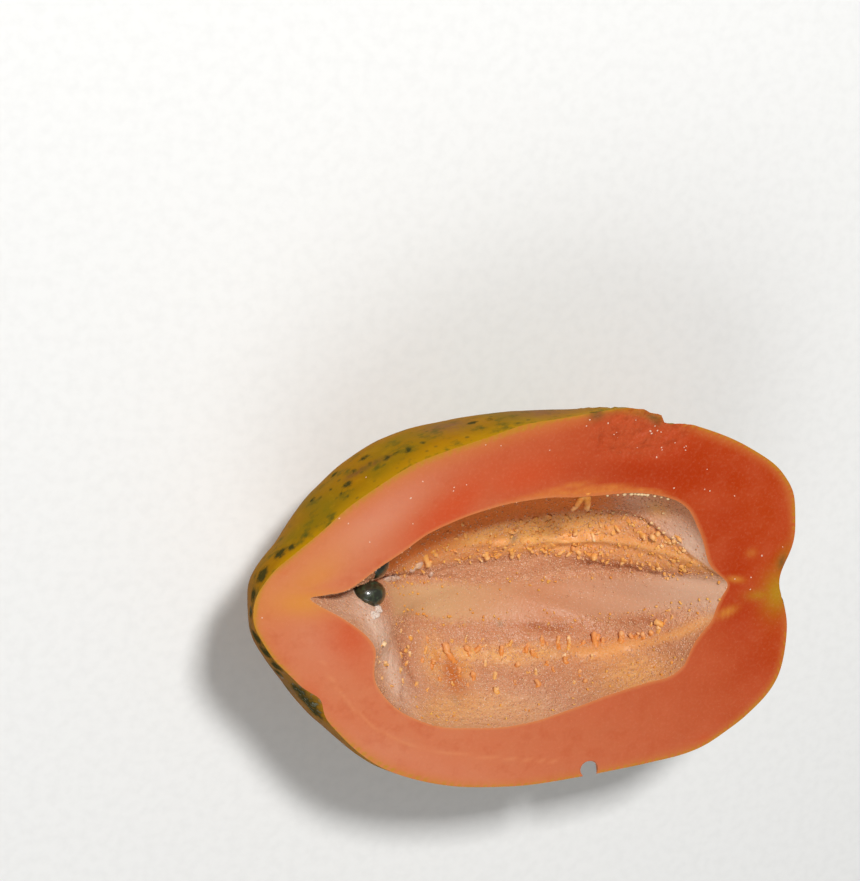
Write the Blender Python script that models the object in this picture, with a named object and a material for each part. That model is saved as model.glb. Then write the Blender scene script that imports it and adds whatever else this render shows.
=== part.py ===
# Half a papaya, cut lengthwise and lying on its back with the cut face up.
# Metres, +Z up. The origin is under the middle of the half, on the surface that it rests on.
# The fruit's long axis runs along X, from the pointed end at -X to the stem end at +X.

import math

import bmesh
import bpy
import numpy as np
from mathutils import Euler, Matrix, Vector

# Driving sizes
LENGTH = 0.150
BREADTH = 0.102
DEPTH = 0.056
CAVITY_DEPTH = 0.031
REST_CUT = 0.0011  # how much of the round back the resting spot takes away
SEED_GAP = 0.0003

# Shape of the rim of the cut face, as shares of half the length and half the breadth. It starts at the
# pointed end, follows the +Y side to the stem end and comes back along the -Y side, so that point k
# and point 24 - k face each other across the fruit.
RIM = (
    (-1.000, 0.025), (-0.971, 0.192), (-0.867, 0.333), (-0.707, 0.541), (-0.500, 0.739), (-0.253, 0.867),
    (0.007, 0.961), (0.253, 0.996), (0.507, 0.904), (0.720, 0.788), (0.880, 0.639), (0.964, 0.378),
    (0.995, -0.043), (0.993, -0.475), (0.880, -0.710), (0.720, -0.867), (0.507, -0.937), (0.253, -0.980),
    (0.000, -1.002), (-0.253, -0.965), (-0.500, -0.834), (-0.700, -0.602), (-0.853, -0.338), (-0.967, -0.122),
)
# The mouth of the seed cavity, point by point opposite the rim, in the same shares.
MOUTH = (
    (-0.813, 0.080), (-0.767, 0.102), (-0.693, 0.122), (-0.587, 0.237), (-0.427, 0.388), (-0.233, 0.510),
    (-0.013, 0.551), (0.187, 0.561), (0.380, 0.553), (0.507, 0.494), (0.581, 0.353), (0.640, 0.169),
    (0.720, 0.041), (0.704, -0.092), (0.637, -0.239), (0.587, -0.402), (0.447, -0.490), (0.227, -0.565),
    (0.027, -0.645), (-0.187, -0.659), (-0.393, -0.586), (-0.547, -0.387), (-0.591, -0.190), (-0.687, -0.041),
)
# Depth of the round back under each pair of rim points, as a share of DEPTH, from tip to stem end.
KEEL = (0.0, 0.24, 0.43, 0.67, 0.85, 0.95, 0.995, 1.0, 0.96, 0.86, 0.70, 0.46, 0.0)
# How far the skin swells out below the rim on each side, as a share of the half breadth there. The knife
# went in a little off the fruit's axis, so the +Y side draws in towards the stem end.
SWELL_UPPER = (-0.10, 0.05, 0.22, 0.28, 0.24, 0.12, -0.06, -0.22, -0.27, -0.25, -0.20, -0.10, 0.0)
SWELL_LOWER = (0.90, 0.90, 0.78, 0.58, 0.46, 0.38, 0.32, 0.28, 0.24, 0.18, 0.10, 0.04, 0.0)
# How the cavity wall falls away from its mouth: 0.5 is steep, as in a bowl, and 1 is gentle.
WALL = (
    1.10, 0.95, 0.70, 0.55, 0.50, 0.50, 0.50, 0.50, 0.52, 0.58, 0.68, 0.85,
    1.00, 0.85, 0.72, 0.66, 0.62, 0.60, 0.60, 0.60, 0.62, 0.74, 0.95, 1.10,
)
CAVITY_MIDDLE = (-0.020, -0.125)

# Stem scar: the dimple that the stem left in the +X end
SCAR_DEPTH = 0.0044
SCAR_RADIUS = 0.0085
SCAR_SIDE = 0.0030  # how far it lies to the +Y side

# Bruise that pulls the rim in near the pointed end
BRUISE_AT = (-0.0585, -0.0232)
BRUISE_DEPTH = 0.0020
BRUISE_RADIUS = 0.0040

# Torn flesh at the rim of the +Y side, where a flake of skin came away
TEAR_AT = (0.0235, 0.0445)
TEAR_HALF_SIZE = (0.0175, 0.0070)
TEAR_SINK = 0.0010
TEAR_LUMP = 0.0007

# Nick in the rim of the -Y side
NICK_AT = (0.0203, -0.0483)
NICK_RADIUS = 0.0024
NICK_LENGTH = 0.0110
NICK_LEAN = (-0.371, 0.286, 0.884)

# Two seed ridges run along the cavity, with a smooth band between them, and a fold lies near the point.
RIDGE_HEIGHT = 0.0014
RIDGE_WIDTH = 0.0036
UPPER_RIDGE_Y = 0.0062
LOWER_RIDGE_Y = -0.0232
FOLD_FROM = (-0.0385, -0.0080)
FOLD_TO = (-0.0290, -0.0275)
FOLD_HEIGHT = 0.0013
FOLD_WIDTH = 0.0034

# Seeds: middle (below the cut face in z), half axes and turn of the long axis
SEED_HALF_AXES = (0.0040, 0.0034, 0.0034)
SEEDS = {
    "seed_front": ((-0.0410, -0.0004, -0.0122), (0.0, 0.20, 0.10)),
    "seed_back": ((-0.0378, 0.0056, -0.0168), (0.3, -0.35, 1.15)),
}

# How finely the solid is divided
STEPS_PER_POINT = 6
SKIN_STEPS = 22
FLESH_STEPS = 4
CAVITY_STEPS = 15

# The cut face is at the top of the solid, above the resting spot.
TOP = DEPTH - REST_CUT
HALF_SIZE = np.array((LENGTH / 2, BREADTH / 2))
POINTS = len(RIM)
SAMPLES = POINTS * STEPS_PER_POINT


def curve(values, t, closed):
    """Smooth curve through the values, which stand at t = 0, 1, 2 and so on."""
    values = np.asarray(values, float)
    count = len(values)
    first = np.floor(t).astype(int)
    if not closed:
        first = np.clip(first, 0, count - 2)
    u = t - first
    if values.ndim > 1:
        u = u[..., None]

    def at(step):
        index = first + step
        return values[index % count] if closed else values[np.clip(index, 0, count - 1)]

    before, start, end, after = at(-1), at(0), at(1), at(2)
    start_slope = (end - before) / 2
    end_slope = (after - start) / 2
    return (
        (2 * u**3 - 3 * u**2 + 1) * start
        + (u**3 - 2 * u**2 + u) * start_slope
        + (3 * u**2 - 2 * u**3) * end
        + (u**3 - u**2) * end_slope
    )


def hill(distance):
    """Smooth hill of height 1 that has died away at about twice its width."""
    return np.exp(-(distance**2))


def ease(value, start, end):
    """0 before the start, 1 after the end and smooth between them."""
    u = np.clip((value - start) / (end - start), 0, 1)
    return u * u * (3 - 2 * u)


def press_bruise(flat):
    """Presses the bruise inwards into points of the outline."""
    offset = flat - BRUISE_AT
    strength = hill(np.hypot(offset[:, 0], offset[:, 1]) / BRUISE_RADIUS)
    inward = -flat / np.linalg.norm(flat, axis=1, keepdims=True)
    return flat + inward * (BRUISE_DEPTH * strength)[:, None]


def tear_strength(x, y):
    """1 in the middle of the torn flesh and 0 outside it."""
    across = np.hypot((x - TEAR_AT[0]) / TEAR_HALF_SIZE[0], (y - TEAR_AT[1]) / TEAR_HALF_SIZE[1])
    return 1 - ease(across, 0.55, 1.0)


def cut_face_height(x, y):
    """The knife left the flesh flat, except where it is torn."""
    lumps = np.sin(x * 1150) * np.sin(y * 1400 + x * 500)
    return TOP + tear_strength(x, y) * (TEAR_LUMP * lumps - TEAR_SINK)


def cavity_relief(x, y):
    """Ridges and fold that stand up from the cavity's floor."""
    upper = UPPER_RIDGE_Y - 1.6 * (x - 0.020) ** 2
    lower = LOWER_RIDGE_Y + 5.6 * (x + 0.002) ** 2
    ridges = hill((y - upper) / RIDGE_WIDTH) + hill((y - lower) / RIDGE_WIDTH)
    along = np.clip((y - FOLD_FROM[1]) / (FOLD_TO[1] - FOLD_FROM[1]), 0, 1)
    fold_x = FOLD_FROM[0] + along * (FOLD_TO[0] - FOLD_FROM[0])
    fold_y = FOLD_FROM[1] + along * (FOLD_TO[1] - FOLD_FROM[1])
    fold = hill(np.hypot(x - fold_x, y - fold_y) / FOLD_WIDTH)
    return RIDGE_HEIGHT * ridges * ease(x, -0.040, -0.022) + FOLD_HEIGHT * fold


def cavity_points(t, share):
    """Points of the cavity wall at a share of the way from its middle to its mouth."""
    middle = np.array(CAVITY_MIDDLE) * HALF_SIZE
    flat = middle + (curve(MOUTH, t, True) * HALF_SIZE - middle) * share
    fall = (1 - share**2) ** curve(WALL, t, True)
    relief = cavity_relief(flat[:, 0], flat[:, 1]) * (1 - share**6)
    return np.column_stack((flat, TOP - CAVITY_DEPTH * fall + relief))


def flesh_points(t, share):
    """Points of the cut face at a share of the way from the mouth to the rim."""
    mouth = curve(MOUTH, t, True) * HALF_SIZE
    flat = mouth + (press_bruise(curve(RIM, t, True) * HALF_SIZE) - mouth) * share
    height = cut_face_height(flat[:, 0], flat[:, 1]) if share > 0 else np.full(len(t), TOP)
    return np.column_stack((flat, height))


def skin_points(t, angle):
    """Section of the round back from the rim's +Y side at angle 0 to its -Y side at pi."""
    upper = curve(RIM, t, True) * HALF_SIZE
    lower = curve(RIM, -t, True) * HALF_SIZE
    middle = (upper + lower) / 2
    half = (upper - lower) / 2
    swell = SWELL_UPPER if math.cos(angle) > 0 else SWELL_LOWER
    reach = math.cos(angle) * (1 + curve(swell, t, False) * math.sin(angle))
    flat = middle + half * reach[:, None]
    return np.column_stack((flat, TOP - DEPTH * curve(KEEL, t, False) * math.sin(angle)))


def press_scar(points):
    """Presses the stem scar into the points that lie at the stem end."""
    points = points.copy()
    reach = np.hypot(points[:, 1] - SCAR_SIDE, points[:, 2] - TOP) / SCAR_RADIUS
    near_end = ease(points[:, 0], 0.055, 0.070)
    points[:, 0] -= SCAR_DEPTH * hill(reach) * near_end
    return points


def build_half(material):
    """One closed solid: cavity, cut face and round back."""
    mesh = bmesh.new()

    def add_row(points):
        return [mesh.verts.new(point) for point in press_scar(points)]

    def join(row, following):
        """Closed strip of faces between two rings, each facing the side of its turn."""
        for k in range(SAMPLES):
            after = (k + 1) % SAMPLES
            mesh.faces.new((row[k], row[after], following[after], following[k]))

    t = np.arange(SAMPLES) / STEPS_PER_POINT
    middle = np.array(CAVITY_MIDDLE) * HALF_SIZE
    floor = TOP - CAVITY_DEPTH + cavity_relief(middle[0], middle[1])
    centre = mesh.verts.new((middle[0], middle[1], floor))
    rings = []
    for k in range(1, CAVITY_STEPS + 1):
        rings.append(add_row(cavity_points(t, math.sin(k / CAVITY_STEPS * math.pi / 2))))
    for k in range(1, FLESH_STEPS + 1):
        rings.append(add_row(flesh_points(t, k / FLESH_STEPS)))
    for k in range(SAMPLES):
        mesh.faces.new((centre, rings[0][k], rings[0][(k + 1) % SAMPLES]))
    for row, following in zip(rings, rings[1:]):
        join(following, row)

    rim = rings[-1]
    last = SAMPLES // 2
    across = [rim[1:last]]
    for k in range(1, SKIN_STEPS):
        across.append(add_row(skin_points(t[1:last], math.pi * k / SKIN_STEPS)))
    across.append([rim[SAMPLES - k] for k in range(1, last)])
    for row, following in zip(across, across[1:]):
        mesh.faces.new((rim[0], following[0], row[0]))
        mesh.faces.new((rim[last], row[-1], following[-1]))
        for k in range(last - 2):
            mesh.faces.new((row[k], following[k], following[k + 1], row[k + 1]))

    bmesh.ops.recalc_face_normals(mesh, faces=mesh.faces)
    everything = mesh.verts[:] + mesh.edges[:] + mesh.faces[:]
    cut = bmesh.ops.bisect_plane(
        mesh, geom=everything, dist=1e-7, plane_co=(0, 0, 0), plane_no=(0, 0, -1), clear_outer=True
    )
    rest_edges = [item for item in cut["geom_cut"] if isinstance(item, bmesh.types.BMEdge)]
    bmesh.ops.contextual_create(mesh, geom=rest_edges)
    bmesh.ops.recalc_face_normals(mesh, faces=mesh.faces)
    return finish("papaya_half", mesh, material)


def build_seed(name, middle, turn, half_axes, material):
    """An egg-round seed, or the socket that it presses into the cavity wall."""
    mesh = bmesh.new()
    bmesh.ops.create_uvsphere(mesh, u_segments=16, v_segments=10, radius=1.0)
    place = Matrix.Translation((middle[0], middle[1], TOP + middle[2])) @ Euler(turn).to_matrix().to_4x4()
    mesh.transform(place @ Matrix.Diagonal((*half_axes, 1.0)))
    return finish(name, mesh, material)


def build_nick(material):
    """Rounded rod that cuts the nick out of the rim."""
    mesh = bmesh.new()
    bmesh.ops.create_uvsphere(mesh, u_segments=16, v_segments=10, radius=NICK_RADIUS)
    for vert in mesh.verts:
        vert.co.z += NICK_LENGTH / 2 if vert.co.z > 0 else -NICK_LENGTH / 2
    lean = Vector(NICK_LEAN).to_track_quat("Z", "Y").to_matrix().to_4x4()
    middle = Vector((*NICK_AT, TOP)) - Vector(NICK_LEAN) * NICK_LENGTH * 0.3
    mesh.transform(Matrix.Translation(middle) @ lean)
    return finish("nick", mesh, material)


def finish(name, mesh, material):
    """Turns a bmesh into a named object with its material."""
    data = bpy.data.meshes.new(name)
    mesh.to_mesh(data)
    mesh.free()
    data.materials.append(material)
    data.shade_smooth()
    data.set_sharp_from_angle(angle=math.radians(50))
    item = bpy.data.objects.new(name, data)
    bpy.context.scene.collection.objects.link(item)
    return item


def make_material(name, colour, roughness):
    """Plain finish for a piece, with its colour in linear red, green and blue."""
    material = bpy.data.materials.new(name)
    material.use_nodes = True
    surface = material.node_tree.nodes["Principled BSDF"]
    surface.inputs["Base Color"].default_value = (*colour, 1.0)
    surface.inputs["Roughness"].default_value = roughness
    surface.inputs["Metallic"].default_value = 0.0
    return material


def cut_away(body, cutter):
    """Takes the cutter's shape out of the body."""
    cutter.hide_render = True
    cutter.display_type = "WIRE"
    modifier = body.modifiers.new(cutter.name, "BOOLEAN")
    modifier.operation = "DIFFERENCE"
    modifier.solver = "EXACT"
    modifier.object = cutter


for old in list(bpy.data.objects):
    bpy.data.objects.remove(old, do_unlink=True)

flesh = make_material("papaya flesh", (0.62, 0.16, 0.06), 0.35)
seed_coat = make_material("wet black seed", (0.02, 0.02, 0.015), 0.2)
cutter_finish = make_material("cutter", (0.5, 0.5, 0.5), 0.5)

half = build_half(flesh)
cut_away(half, build_nick(cutter_finish))
for name, (middle, turn) in SEEDS.items():
    build_seed(name, middle, turn, SEED_HALF_AXES, seed_coat)
    socket_axes = [axis + SEED_GAP for axis in SEED_HALF_AXES]
    cut_away(half, build_seed(name + "_socket", middle, turn, socket_axes, cutter_finish))

# Everything moves together until the origin is under the middle of the half.
corners = np.array([vert.co for vert in half.data.vertices])
middle = (corners.min(axis=0) + corners.max(axis=0)) / 2
for item in bpy.context.scene.objects:
    item.data.transform(Matrix.Translation((-middle[0], -middle[1], 0.0)))
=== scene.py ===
import math

import bmesh
import bpy
import numpy as np
from mathutils import Euler, Matrix, Vector
from mathutils.bvhtree import BVHTree


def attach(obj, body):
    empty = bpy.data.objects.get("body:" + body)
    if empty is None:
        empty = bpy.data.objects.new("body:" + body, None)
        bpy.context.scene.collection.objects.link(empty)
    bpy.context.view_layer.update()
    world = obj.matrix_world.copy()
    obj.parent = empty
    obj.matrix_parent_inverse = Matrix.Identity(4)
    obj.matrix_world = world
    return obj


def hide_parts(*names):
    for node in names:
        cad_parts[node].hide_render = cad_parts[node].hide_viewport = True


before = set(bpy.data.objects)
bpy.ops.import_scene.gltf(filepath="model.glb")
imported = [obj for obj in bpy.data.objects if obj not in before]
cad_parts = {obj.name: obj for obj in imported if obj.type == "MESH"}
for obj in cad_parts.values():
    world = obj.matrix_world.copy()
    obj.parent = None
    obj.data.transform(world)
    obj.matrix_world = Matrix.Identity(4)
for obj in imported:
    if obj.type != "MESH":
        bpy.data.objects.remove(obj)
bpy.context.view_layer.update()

# The form of the half: a ripe papaya cut lengthwise by a knife, a little off its axis, and laid on its
# round back. One closed surface runs from the seed cavity over the flat cut face and round the back.
MM = 0.001
LENGTH = 150 * MM
BREADTH = 102 * MM
DEPTH = 56 * MM
CAVITY_DEPTH = 31 * MM
REST_CUT = 1.1 * MM
TOP = DEPTH - REST_CUT
HALF_SIZE = np.array((LENGTH / 2, BREADTH / 2))
OUTLINE_MIDDLE = np.array((-0.11, 1.26)) * MM

# Rim of the cut face and mouth of the cavity, in shares of half the length and half the breadth. Both
# start at the pointed end and go round by the +Y side, so that point k faces
# point 24 - k across the fruit.
RIM = (
    (-1.000, 0.025), (-0.971, 0.192), (-0.867, 0.333), (-0.707, 0.541), (-0.500, 0.739), (-0.253, 0.867),
    (0.007, 0.961), (0.253, 0.996), (0.507, 0.904), (0.720, 0.788), (0.880, 0.639), (0.964, 0.378),
    (0.995, -0.043), (0.993, -0.475), (0.880, -0.710), (0.720, -0.867), (0.507, -0.937), (0.253, -0.980),
    (0.000, -1.002), (-0.253, -0.965), (-0.500, -0.834), (-0.700, -0.602), (-0.853, -0.338),
    (-0.967, -0.122),
)
MOUTH = (
    (-0.813, 0.080), (-0.767, 0.102), (-0.693, 0.122), (-0.587, 0.237), (-0.427, 0.388), (-0.233, 0.510),
    (-0.013, 0.551), (0.187, 0.561), (0.380, 0.553), (0.507, 0.494), (0.581, 0.353), (0.640, 0.169),
    (0.720, 0.041), (0.704, -0.092), (0.637, -0.239), (0.587, -0.402), (0.447, -0.490), (0.227, -0.565),
    (0.027, -0.645), (-0.187, -0.659), (-0.393, -0.586), (-0.547, -0.387), (-0.591, -0.190),
    (-0.687, -0.041),
)
# How far the knife's edge strays from the smooth rim and mouth, outwards, in millimetres every half step
RIM_EDGE = (
    0.3, 0.2, -0.35, 0.0, 0.0, -0.35, 0.1, 0.0, 0.2, 0.0, 0.0, 0.4, -0.3, -0.35, 0.1, -0.2, 0.1, 0.25,
    0.2, 0.0, 0.1, 0.5, -0.1, 0.2, -0.2, -0.3, -0.1, 0.0, 0.0, -0.3, 0.1, 0.3, 0.1, 0.0, 0.1, 0.1, 0.1,
    0.0, 0.2, 0.35, 0.45, 0.3, -0.3, -0.7, -0.7, 0.0, -0.1, 0.1,
)
MOUTH_EDGE = (
    0.0, -0.4, -0.25, 0.0, -0.2, -0.55, -0.5, -0.6, 0.05, -0.3, -0.6, -0.2, 0.0, -0.55, -0.4, 0.0, -0.2,
    -0.4, -0.4, -0.3, -0.3, -0.1, -0.35, -0.25, 0.25, -1.1, -1.0, 0.2, 0.0, -0.5, 0.1, 0.5, -0.6, -0.5,
    0.25, 0.2, 0.2, 0.2, -0.1, 0.35, 0.35, 1.0, 0.7, 0.0, -1.0, -1.0, -0.4, 0.0,
)
POINTS = len(RIM)
# Depth of the round back under each pair of rim points, as a share of the whole depth, and how far the
# skin swells out below the rim on the far and the near side, as a share of the half breadth there
KEEL = (0.0, 0.24, 0.43, 0.67, 0.85, 0.95, 0.995, 1.0, 0.96, 0.86, 0.70, 0.46, 0.0)
SWELL_UPPER = (-0.10, 0.05, 0.22, 0.28, 0.24, 0.12, -0.06, -0.22, -0.27, -0.25, -0.20, -0.10, 0.0)
SWELL_LOWER = (0.90, 0.90, 0.78, 0.58, 0.46, 0.38, 0.32, 0.28, 0.24, 0.18, 0.10, 0.04, 0.0)
# How gently the cavity's wall falls away from each point of the mouth: 0.5 is steep, 1 is gentle
WALL = (
    1.02, 1.08, 0.95, 0.62, 0.50, 0.50, 0.50, 0.50, 0.52, 0.58, 0.68, 0.85,
    1.00, 0.85, 0.72, 0.66, 0.62, 0.60, 0.60, 0.60, 0.62, 0.74, 0.95, 1.10,
)
PLAIN_WALL = 0.6
CAVITY_MIDDLE = np.array((-0.020, -0.125)) * HALF_SIZE

# Stem scar, bruise near the pointed end, torn flesh at the far rim and the chip beside it
SCAR_DEPTH = 4.4 * MM
SCAR_RADIUS = 8.5 * MM
SCAR_SIDE = 3.0 * MM
BRUISE_AT = np.array((-58.5, -23.2)) * MM
BRUISE_DEPTH = 2.0 * MM
BRUISE_RADIUS = 4.0 * MM
TEAR_AT = np.array((23.5, 44.5)) * MM
TEAR_HALF_SIZE = np.array((17.0, 8.5)) * MM
TEAR_DEPTH = 1.0 * MM
CHIP_DEPTH = 1.6 * MM

# Lines on the cavity floor, seen from above, from the pointed end to the stem end. They bound the two
# swollen bands that carried the seeds, the smooth band between them and the overhanging fold of the wall.
UPPER_SEED_BAND = np.array((
    (-31, 0.5), (-15, 1.8), (2, 3.2), (12, 3.9), (23, 3.5), (36, 3.4), (42, 4.2), (50, 5.5),
))
UPPER_FAR_EDGE = np.array((
    (-30, 4), (-14, 10.5), (0, 14.5), (15, 17), (25, 17.9), (35, 17.1), (42, 12.6), (53, 5.5),
))
LOWER_SEED_BAND = np.array((
    (-22, -18), (-14, -19.6), (0, -20.2), (14, -18.6), (28, -16.8), (38, -13), (45, -8), (53, -4),
))
LOWER_FAR_EDGE = np.array((
    (-24, -23), (-5, -26), (8, -26.5), (26, -24.5), (36, -22), (45, -16.5), (50, -10), (54, -5),
))
SMOOTH_BAND_LOW = np.array((
    (-33, -7), (-12, -14.8), (8, -15.4), (29, -13.2), (40, -8.9), (48, -4.4), (54, 0),
))
SMOOTH_BAND_HIGH = np.array((
    (-33, -1), (-22, -3.4), (-3, -5.8), (14, -5), (28.5, -2.7), (39, 0.4), (47, 3.9), (54, 5),
))
WALL_FOLD = np.array((
    (17, 19), (25, 18.2), (31, 18.6), (35, 17.1), (38.4, 14.6), (41.5, 12.6), (44.6, 10), (48, 7.8),
    (53, 5.2),
))
UPPER_ROPE = np.array(((14, 8), (21, 8.3), (27, 9.6), (33, 10.1), (39, 9.6), (44, 9.1), (48, 7.6)))
LOWER_ROPE = np.array((
    (20, -20.5), (27, -20.1), (34, -18.6), (40, -16.2), (45, -11.7), (49, -7.8), (53, -4.6),
))
POINT_LOBE = np.array(((2, -46), (-2.4, -42.5), (-11, -37.5), (-19, -33.5), (-25, -32)))

# Heights and widths of what stands up from the cavity's floor and of the creases beside it
BAND_HEIGHT = 1.4 * MM
BAND_EDGE = 2.8 * MM
ROPE_HEIGHT = 1.2 * MM
ROPE_WIDTH = 1.1 * MM
ROPE_GROOVE_DEPTH = 0.3 * MM
FOLD_HEIGHT = 1.3 * MM
FOLD_WIDTH = 9 * MM
FOLD_CREASE_DEPTH = 0.5 * MM
LOBE_HEIGHT = 2.5 * MM
LOBE_WIDTH = 4.0 * MM
LOBE_CREASE_AT = 6.0 * MM
LOBE_CREASE_DEPTH = 0.9 * MM
PIT_DEPTH = 0.7 * MM
POINT_RISE_AT = np.array((-56, 5.8)) * MM
POINT_RISE_HALF_SIZE = np.array((6, 2.5)) * MM
POINT_RISE_HEIGHT = 2.5 * MM

# How finely the surface is divided
AROUND = 432
CAVITY_ROWS = 132
FLESH_ROWS = 20
SKIN_ROWS = 84


def curve(values, t, closed):
    """Smooth curve through the values, which stand at t = 0, 1, 2 and so on."""
    values = np.asarray(values, float)
    count = len(values)
    first = np.floor(t).astype(int)
    if not closed:
        first = np.clip(first, 0, count - 2)
    u = t - first
    if values.ndim > 1:
        u = u[..., None]

    def at(step):
        index = first + step
        return values[index % count] if closed else values[np.clip(index, 0, count - 1)]

    before, start, end, after = at(-1), at(0), at(1), at(2)
    return (
        (2 * u**3 - 3 * u**2 + 1) * start
        + (u**3 - 2 * u**2 + u) * (end - before) / 2
        + (3 * u**2 - 2 * u**3) * end
        + (u**3 - u**2) * (after - start) / 2
    )


def ease(value, start, end):
    """0 before the start, 1 after the end and smooth between them."""
    u = np.clip((value - start) / (end - start), 0, 1)
    return u * u * (3 - 2 * u)


def hill(distance):
    """Smooth hill of height 1 that has died away at about twice its width."""
    return np.exp(-(distance**2))


def beside(line, along, across):
    """Signed distance across a line of millimetre points, and how near its ends are along it."""
    line = line * MM
    offset = across - np.interp(along, line[:, 0], line[:, 1])
    ends = ease(along, line[0, 0] - 4 * MM, line[0, 0] + 2 * MM)
    ends = ends * (1 - ease(along, line[-1, 0] - 2 * MM, line[-1, 0] + 3 * MM))
    return offset, ends


def between(low, high, x, y, soft):
    """1 between two lines of the cavity floor, with soft edges."""
    above_low, low_ends = beside(low, x, y)
    above_high, high_ends = beside(high, x, y)
    inside = ease(above_low, -soft, soft) * (1 - ease(above_high, -soft, soft))
    return inside * low_ends * high_ends


def lobe_distance(x, y):
    """Signed distance from the swollen lobe's ridge near the pointed end, which runs along Y."""
    order = POINT_LOBE[::-1]
    offset = x - np.interp(y, order[:, 0] * MM, order[:, 1] * MM)
    return offset, ease(y, -29 * MM, -23 * MM) * (1 - ease(y, -1 * MM, 5 * MM))


def cavity_relief(x, y):
    """What stands up from the cavity's plain bowl or is sunk into it."""
    seed_bands = between(UPPER_SEED_BAND, UPPER_FAR_EDGE, x, y, BAND_EDGE)
    seed_bands += between(LOWER_SEED_BAND, LOWER_FAR_EDGE, x, y, BAND_EDGE)
    height = BAND_HEIGHT * seed_bands * ease(x, -30 * MM, -8 * MM)
    for rope in (UPPER_ROPE, LOWER_ROPE):
        offset, ends = beside(rope, x, y)
        height += ROPE_HEIGHT * hill(offset / ROPE_WIDTH) * ends
        height -= ROPE_GROOVE_DEPTH * hill((offset + 2.2 * MM) / (0.8 * MM)) * ends
    offset, ends = beside(WALL_FOLD, x, y)
    height += FOLD_HEIGHT * ends * ease(offset, 0, 0.7 * MM) * (1 - ease(offset, 1.0 * MM, FOLD_WIDTH))
    height -= FOLD_CREASE_DEPTH * ends * hill((offset + 0.25 * MM) / (0.6 * MM)) * ease(x, 22 * MM, 36 * MM)
    offset, ends = lobe_distance(x, y)
    height += LOBE_HEIGHT * ends * hill(offset / LOBE_WIDTH)
    crease = LOBE_CREASE_DEPTH * ends * hill((offset - LOBE_CREASE_AT) / (1.1 * MM))
    height -= crease * (1 - ease(y, -17 * MM, -11 * MM))
    for lump_x, lump_y, long, wide, high in LUMPS:
        along = (x - lump_x * MM) / (long * MM)
        across = (y - lump_y * MM) / (wide * MM)
        height += high * MM * hill(np.hypot(along, across) ** 1.5)
    along = (x - POINT_RISE_AT[0]) / POINT_RISE_HALF_SIZE[0]
    across = (y - POINT_RISE_AT[1]) / POINT_RISE_HALF_SIZE[1]
    height += POINT_RISE_HEIGHT * hill(np.hypot(along, across))
    for pit_x, pit_y, long, wide in PITS:
        along = (x - pit_x * MM) / (long * MM)
        across = (y - pit_y * MM) / (wide * MM)
        height -= PIT_DEPTH * hill(np.hypot(along, across))
    return height


# Soft orange swellings where seeds sat: middle, half length along X, half width and height, in millimetres
LUMPS = (
    (0.4, 7.0, 2.3, 1.3, 1.0), (-5.5, 7.6, 3.0, 1.1, 0.5), (8.5, 7.0, 1.6, 1.2, 0.6),
    (12.0, 7.8, 1.5, 1.3, 0.7), (14.6, 6.2, 1.4, 1.0, 0.7), (17.4, 8.0, 1.7, 1.3, 0.8),
    (15.8, 11.4, 1.6, 1.3, 0.8), (20.2, 12.2, 1.5, 1.2, 0.8), (22.9, 9.8, 1.4, 1.2, 0.6),
    (27.4, 12.4, 1.6, 1.1, 0.6), (9.5, 11.5, 1.8, 1.0, 0.5), (-14.8, -21.4, 1.2, 2.4, 0.6),
    (-12.6, -25.2, 1.6, 1.4, 0.8), (-6.5, -21.8, 1.2, 1.5, 0.7), (2.2, -22.3, 1.5, 1.6, 0.8),
    (9.5, -22.0, 1.4, 1.4, 0.7), (15.5, -21.0, 1.5, 1.3, 0.7), (21.5, -20.8, 1.8, 1.2, 0.6),
    (-20.5, -22.5, 1.4, 1.2, 0.6), (25.2, -19.6, 1.6, 1.0, 0.6), (-1.8, -21.4, 1.2, 1.2, 0.5),
    (5.6, -23.4, 1.3, 1.2, 0.6), (12.6, -22.6, 1.2, 1.2, 0.5), (18.4, -23.4, 1.3, 1.1, 0.5),
)
# Deep creases in the lining: middle, half length along X and half width, in millimetres
PITS = (
    (26.5, 1.3, 2.6, 0.8), (34.5, 2.2, 2.4, 0.9), (39.0, 1.6, 1.8, 0.7), (13.5, -16.3, 2.6, 0.8),
    (18.6, -16.5, 2.2, 0.9), (39.6, -11.4, 2.4, 0.7),
)


def edge_line(shares, strays, t, stray=1.0):
    """Rim or mouth in metres, with what the edge strays from its smooth curve."""
    flat = curve(shares, t, True) * HALF_SIZE
    outwards = flat / np.linalg.norm(flat, axis=1, keepdims=True)
    return flat + outwards * (stray * MM * curve(strays, 2 * t, True))[:, None]


def cavity_points(t, share):
    """Points of the cavity wall at a share of the way from its middle to its mouth."""
    flat = CAVITY_MIDDLE + (edge_line(MOUTH, MOUTH_EDGE, t) - CAVITY_MIDDLE) * share
    steepness = PLAIN_WALL + (curve(WALL, t, True) - PLAIN_WALL) * ease(share, 0.42, 0.82)
    fall = np.maximum(1 - share**2, 0) ** steepness
    relief = cavity_relief(flat[:, 0] + OUTLINE_MIDDLE[0], flat[:, 1] + OUTLINE_MIDDLE[1])
    return np.column_stack((flat, TOP - CAVITY_DEPTH * fall + relief * (1 - share**8)))


def tear_strength(x, y):
    """1 in the middle of the torn flesh and 0 outside it."""
    across = np.hypot((x - TEAR_AT[0]) / TEAR_HALF_SIZE[0], (y - TEAR_AT[1]) / TEAR_HALF_SIZE[1])
    return 1 - ease(across, 0.6, 1.0)


def press_bruise(flat):
    """Presses the bruise inwards into points of the outline."""
    offset = flat - BRUISE_AT
    strength = hill(np.hypot(offset[:, 0], offset[:, 1]) / BRUISE_RADIUS)
    inward = -flat / np.linalg.norm(flat, axis=1, keepdims=True)
    return flat + inward * (BRUISE_DEPTH * strength)[:, None]


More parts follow.
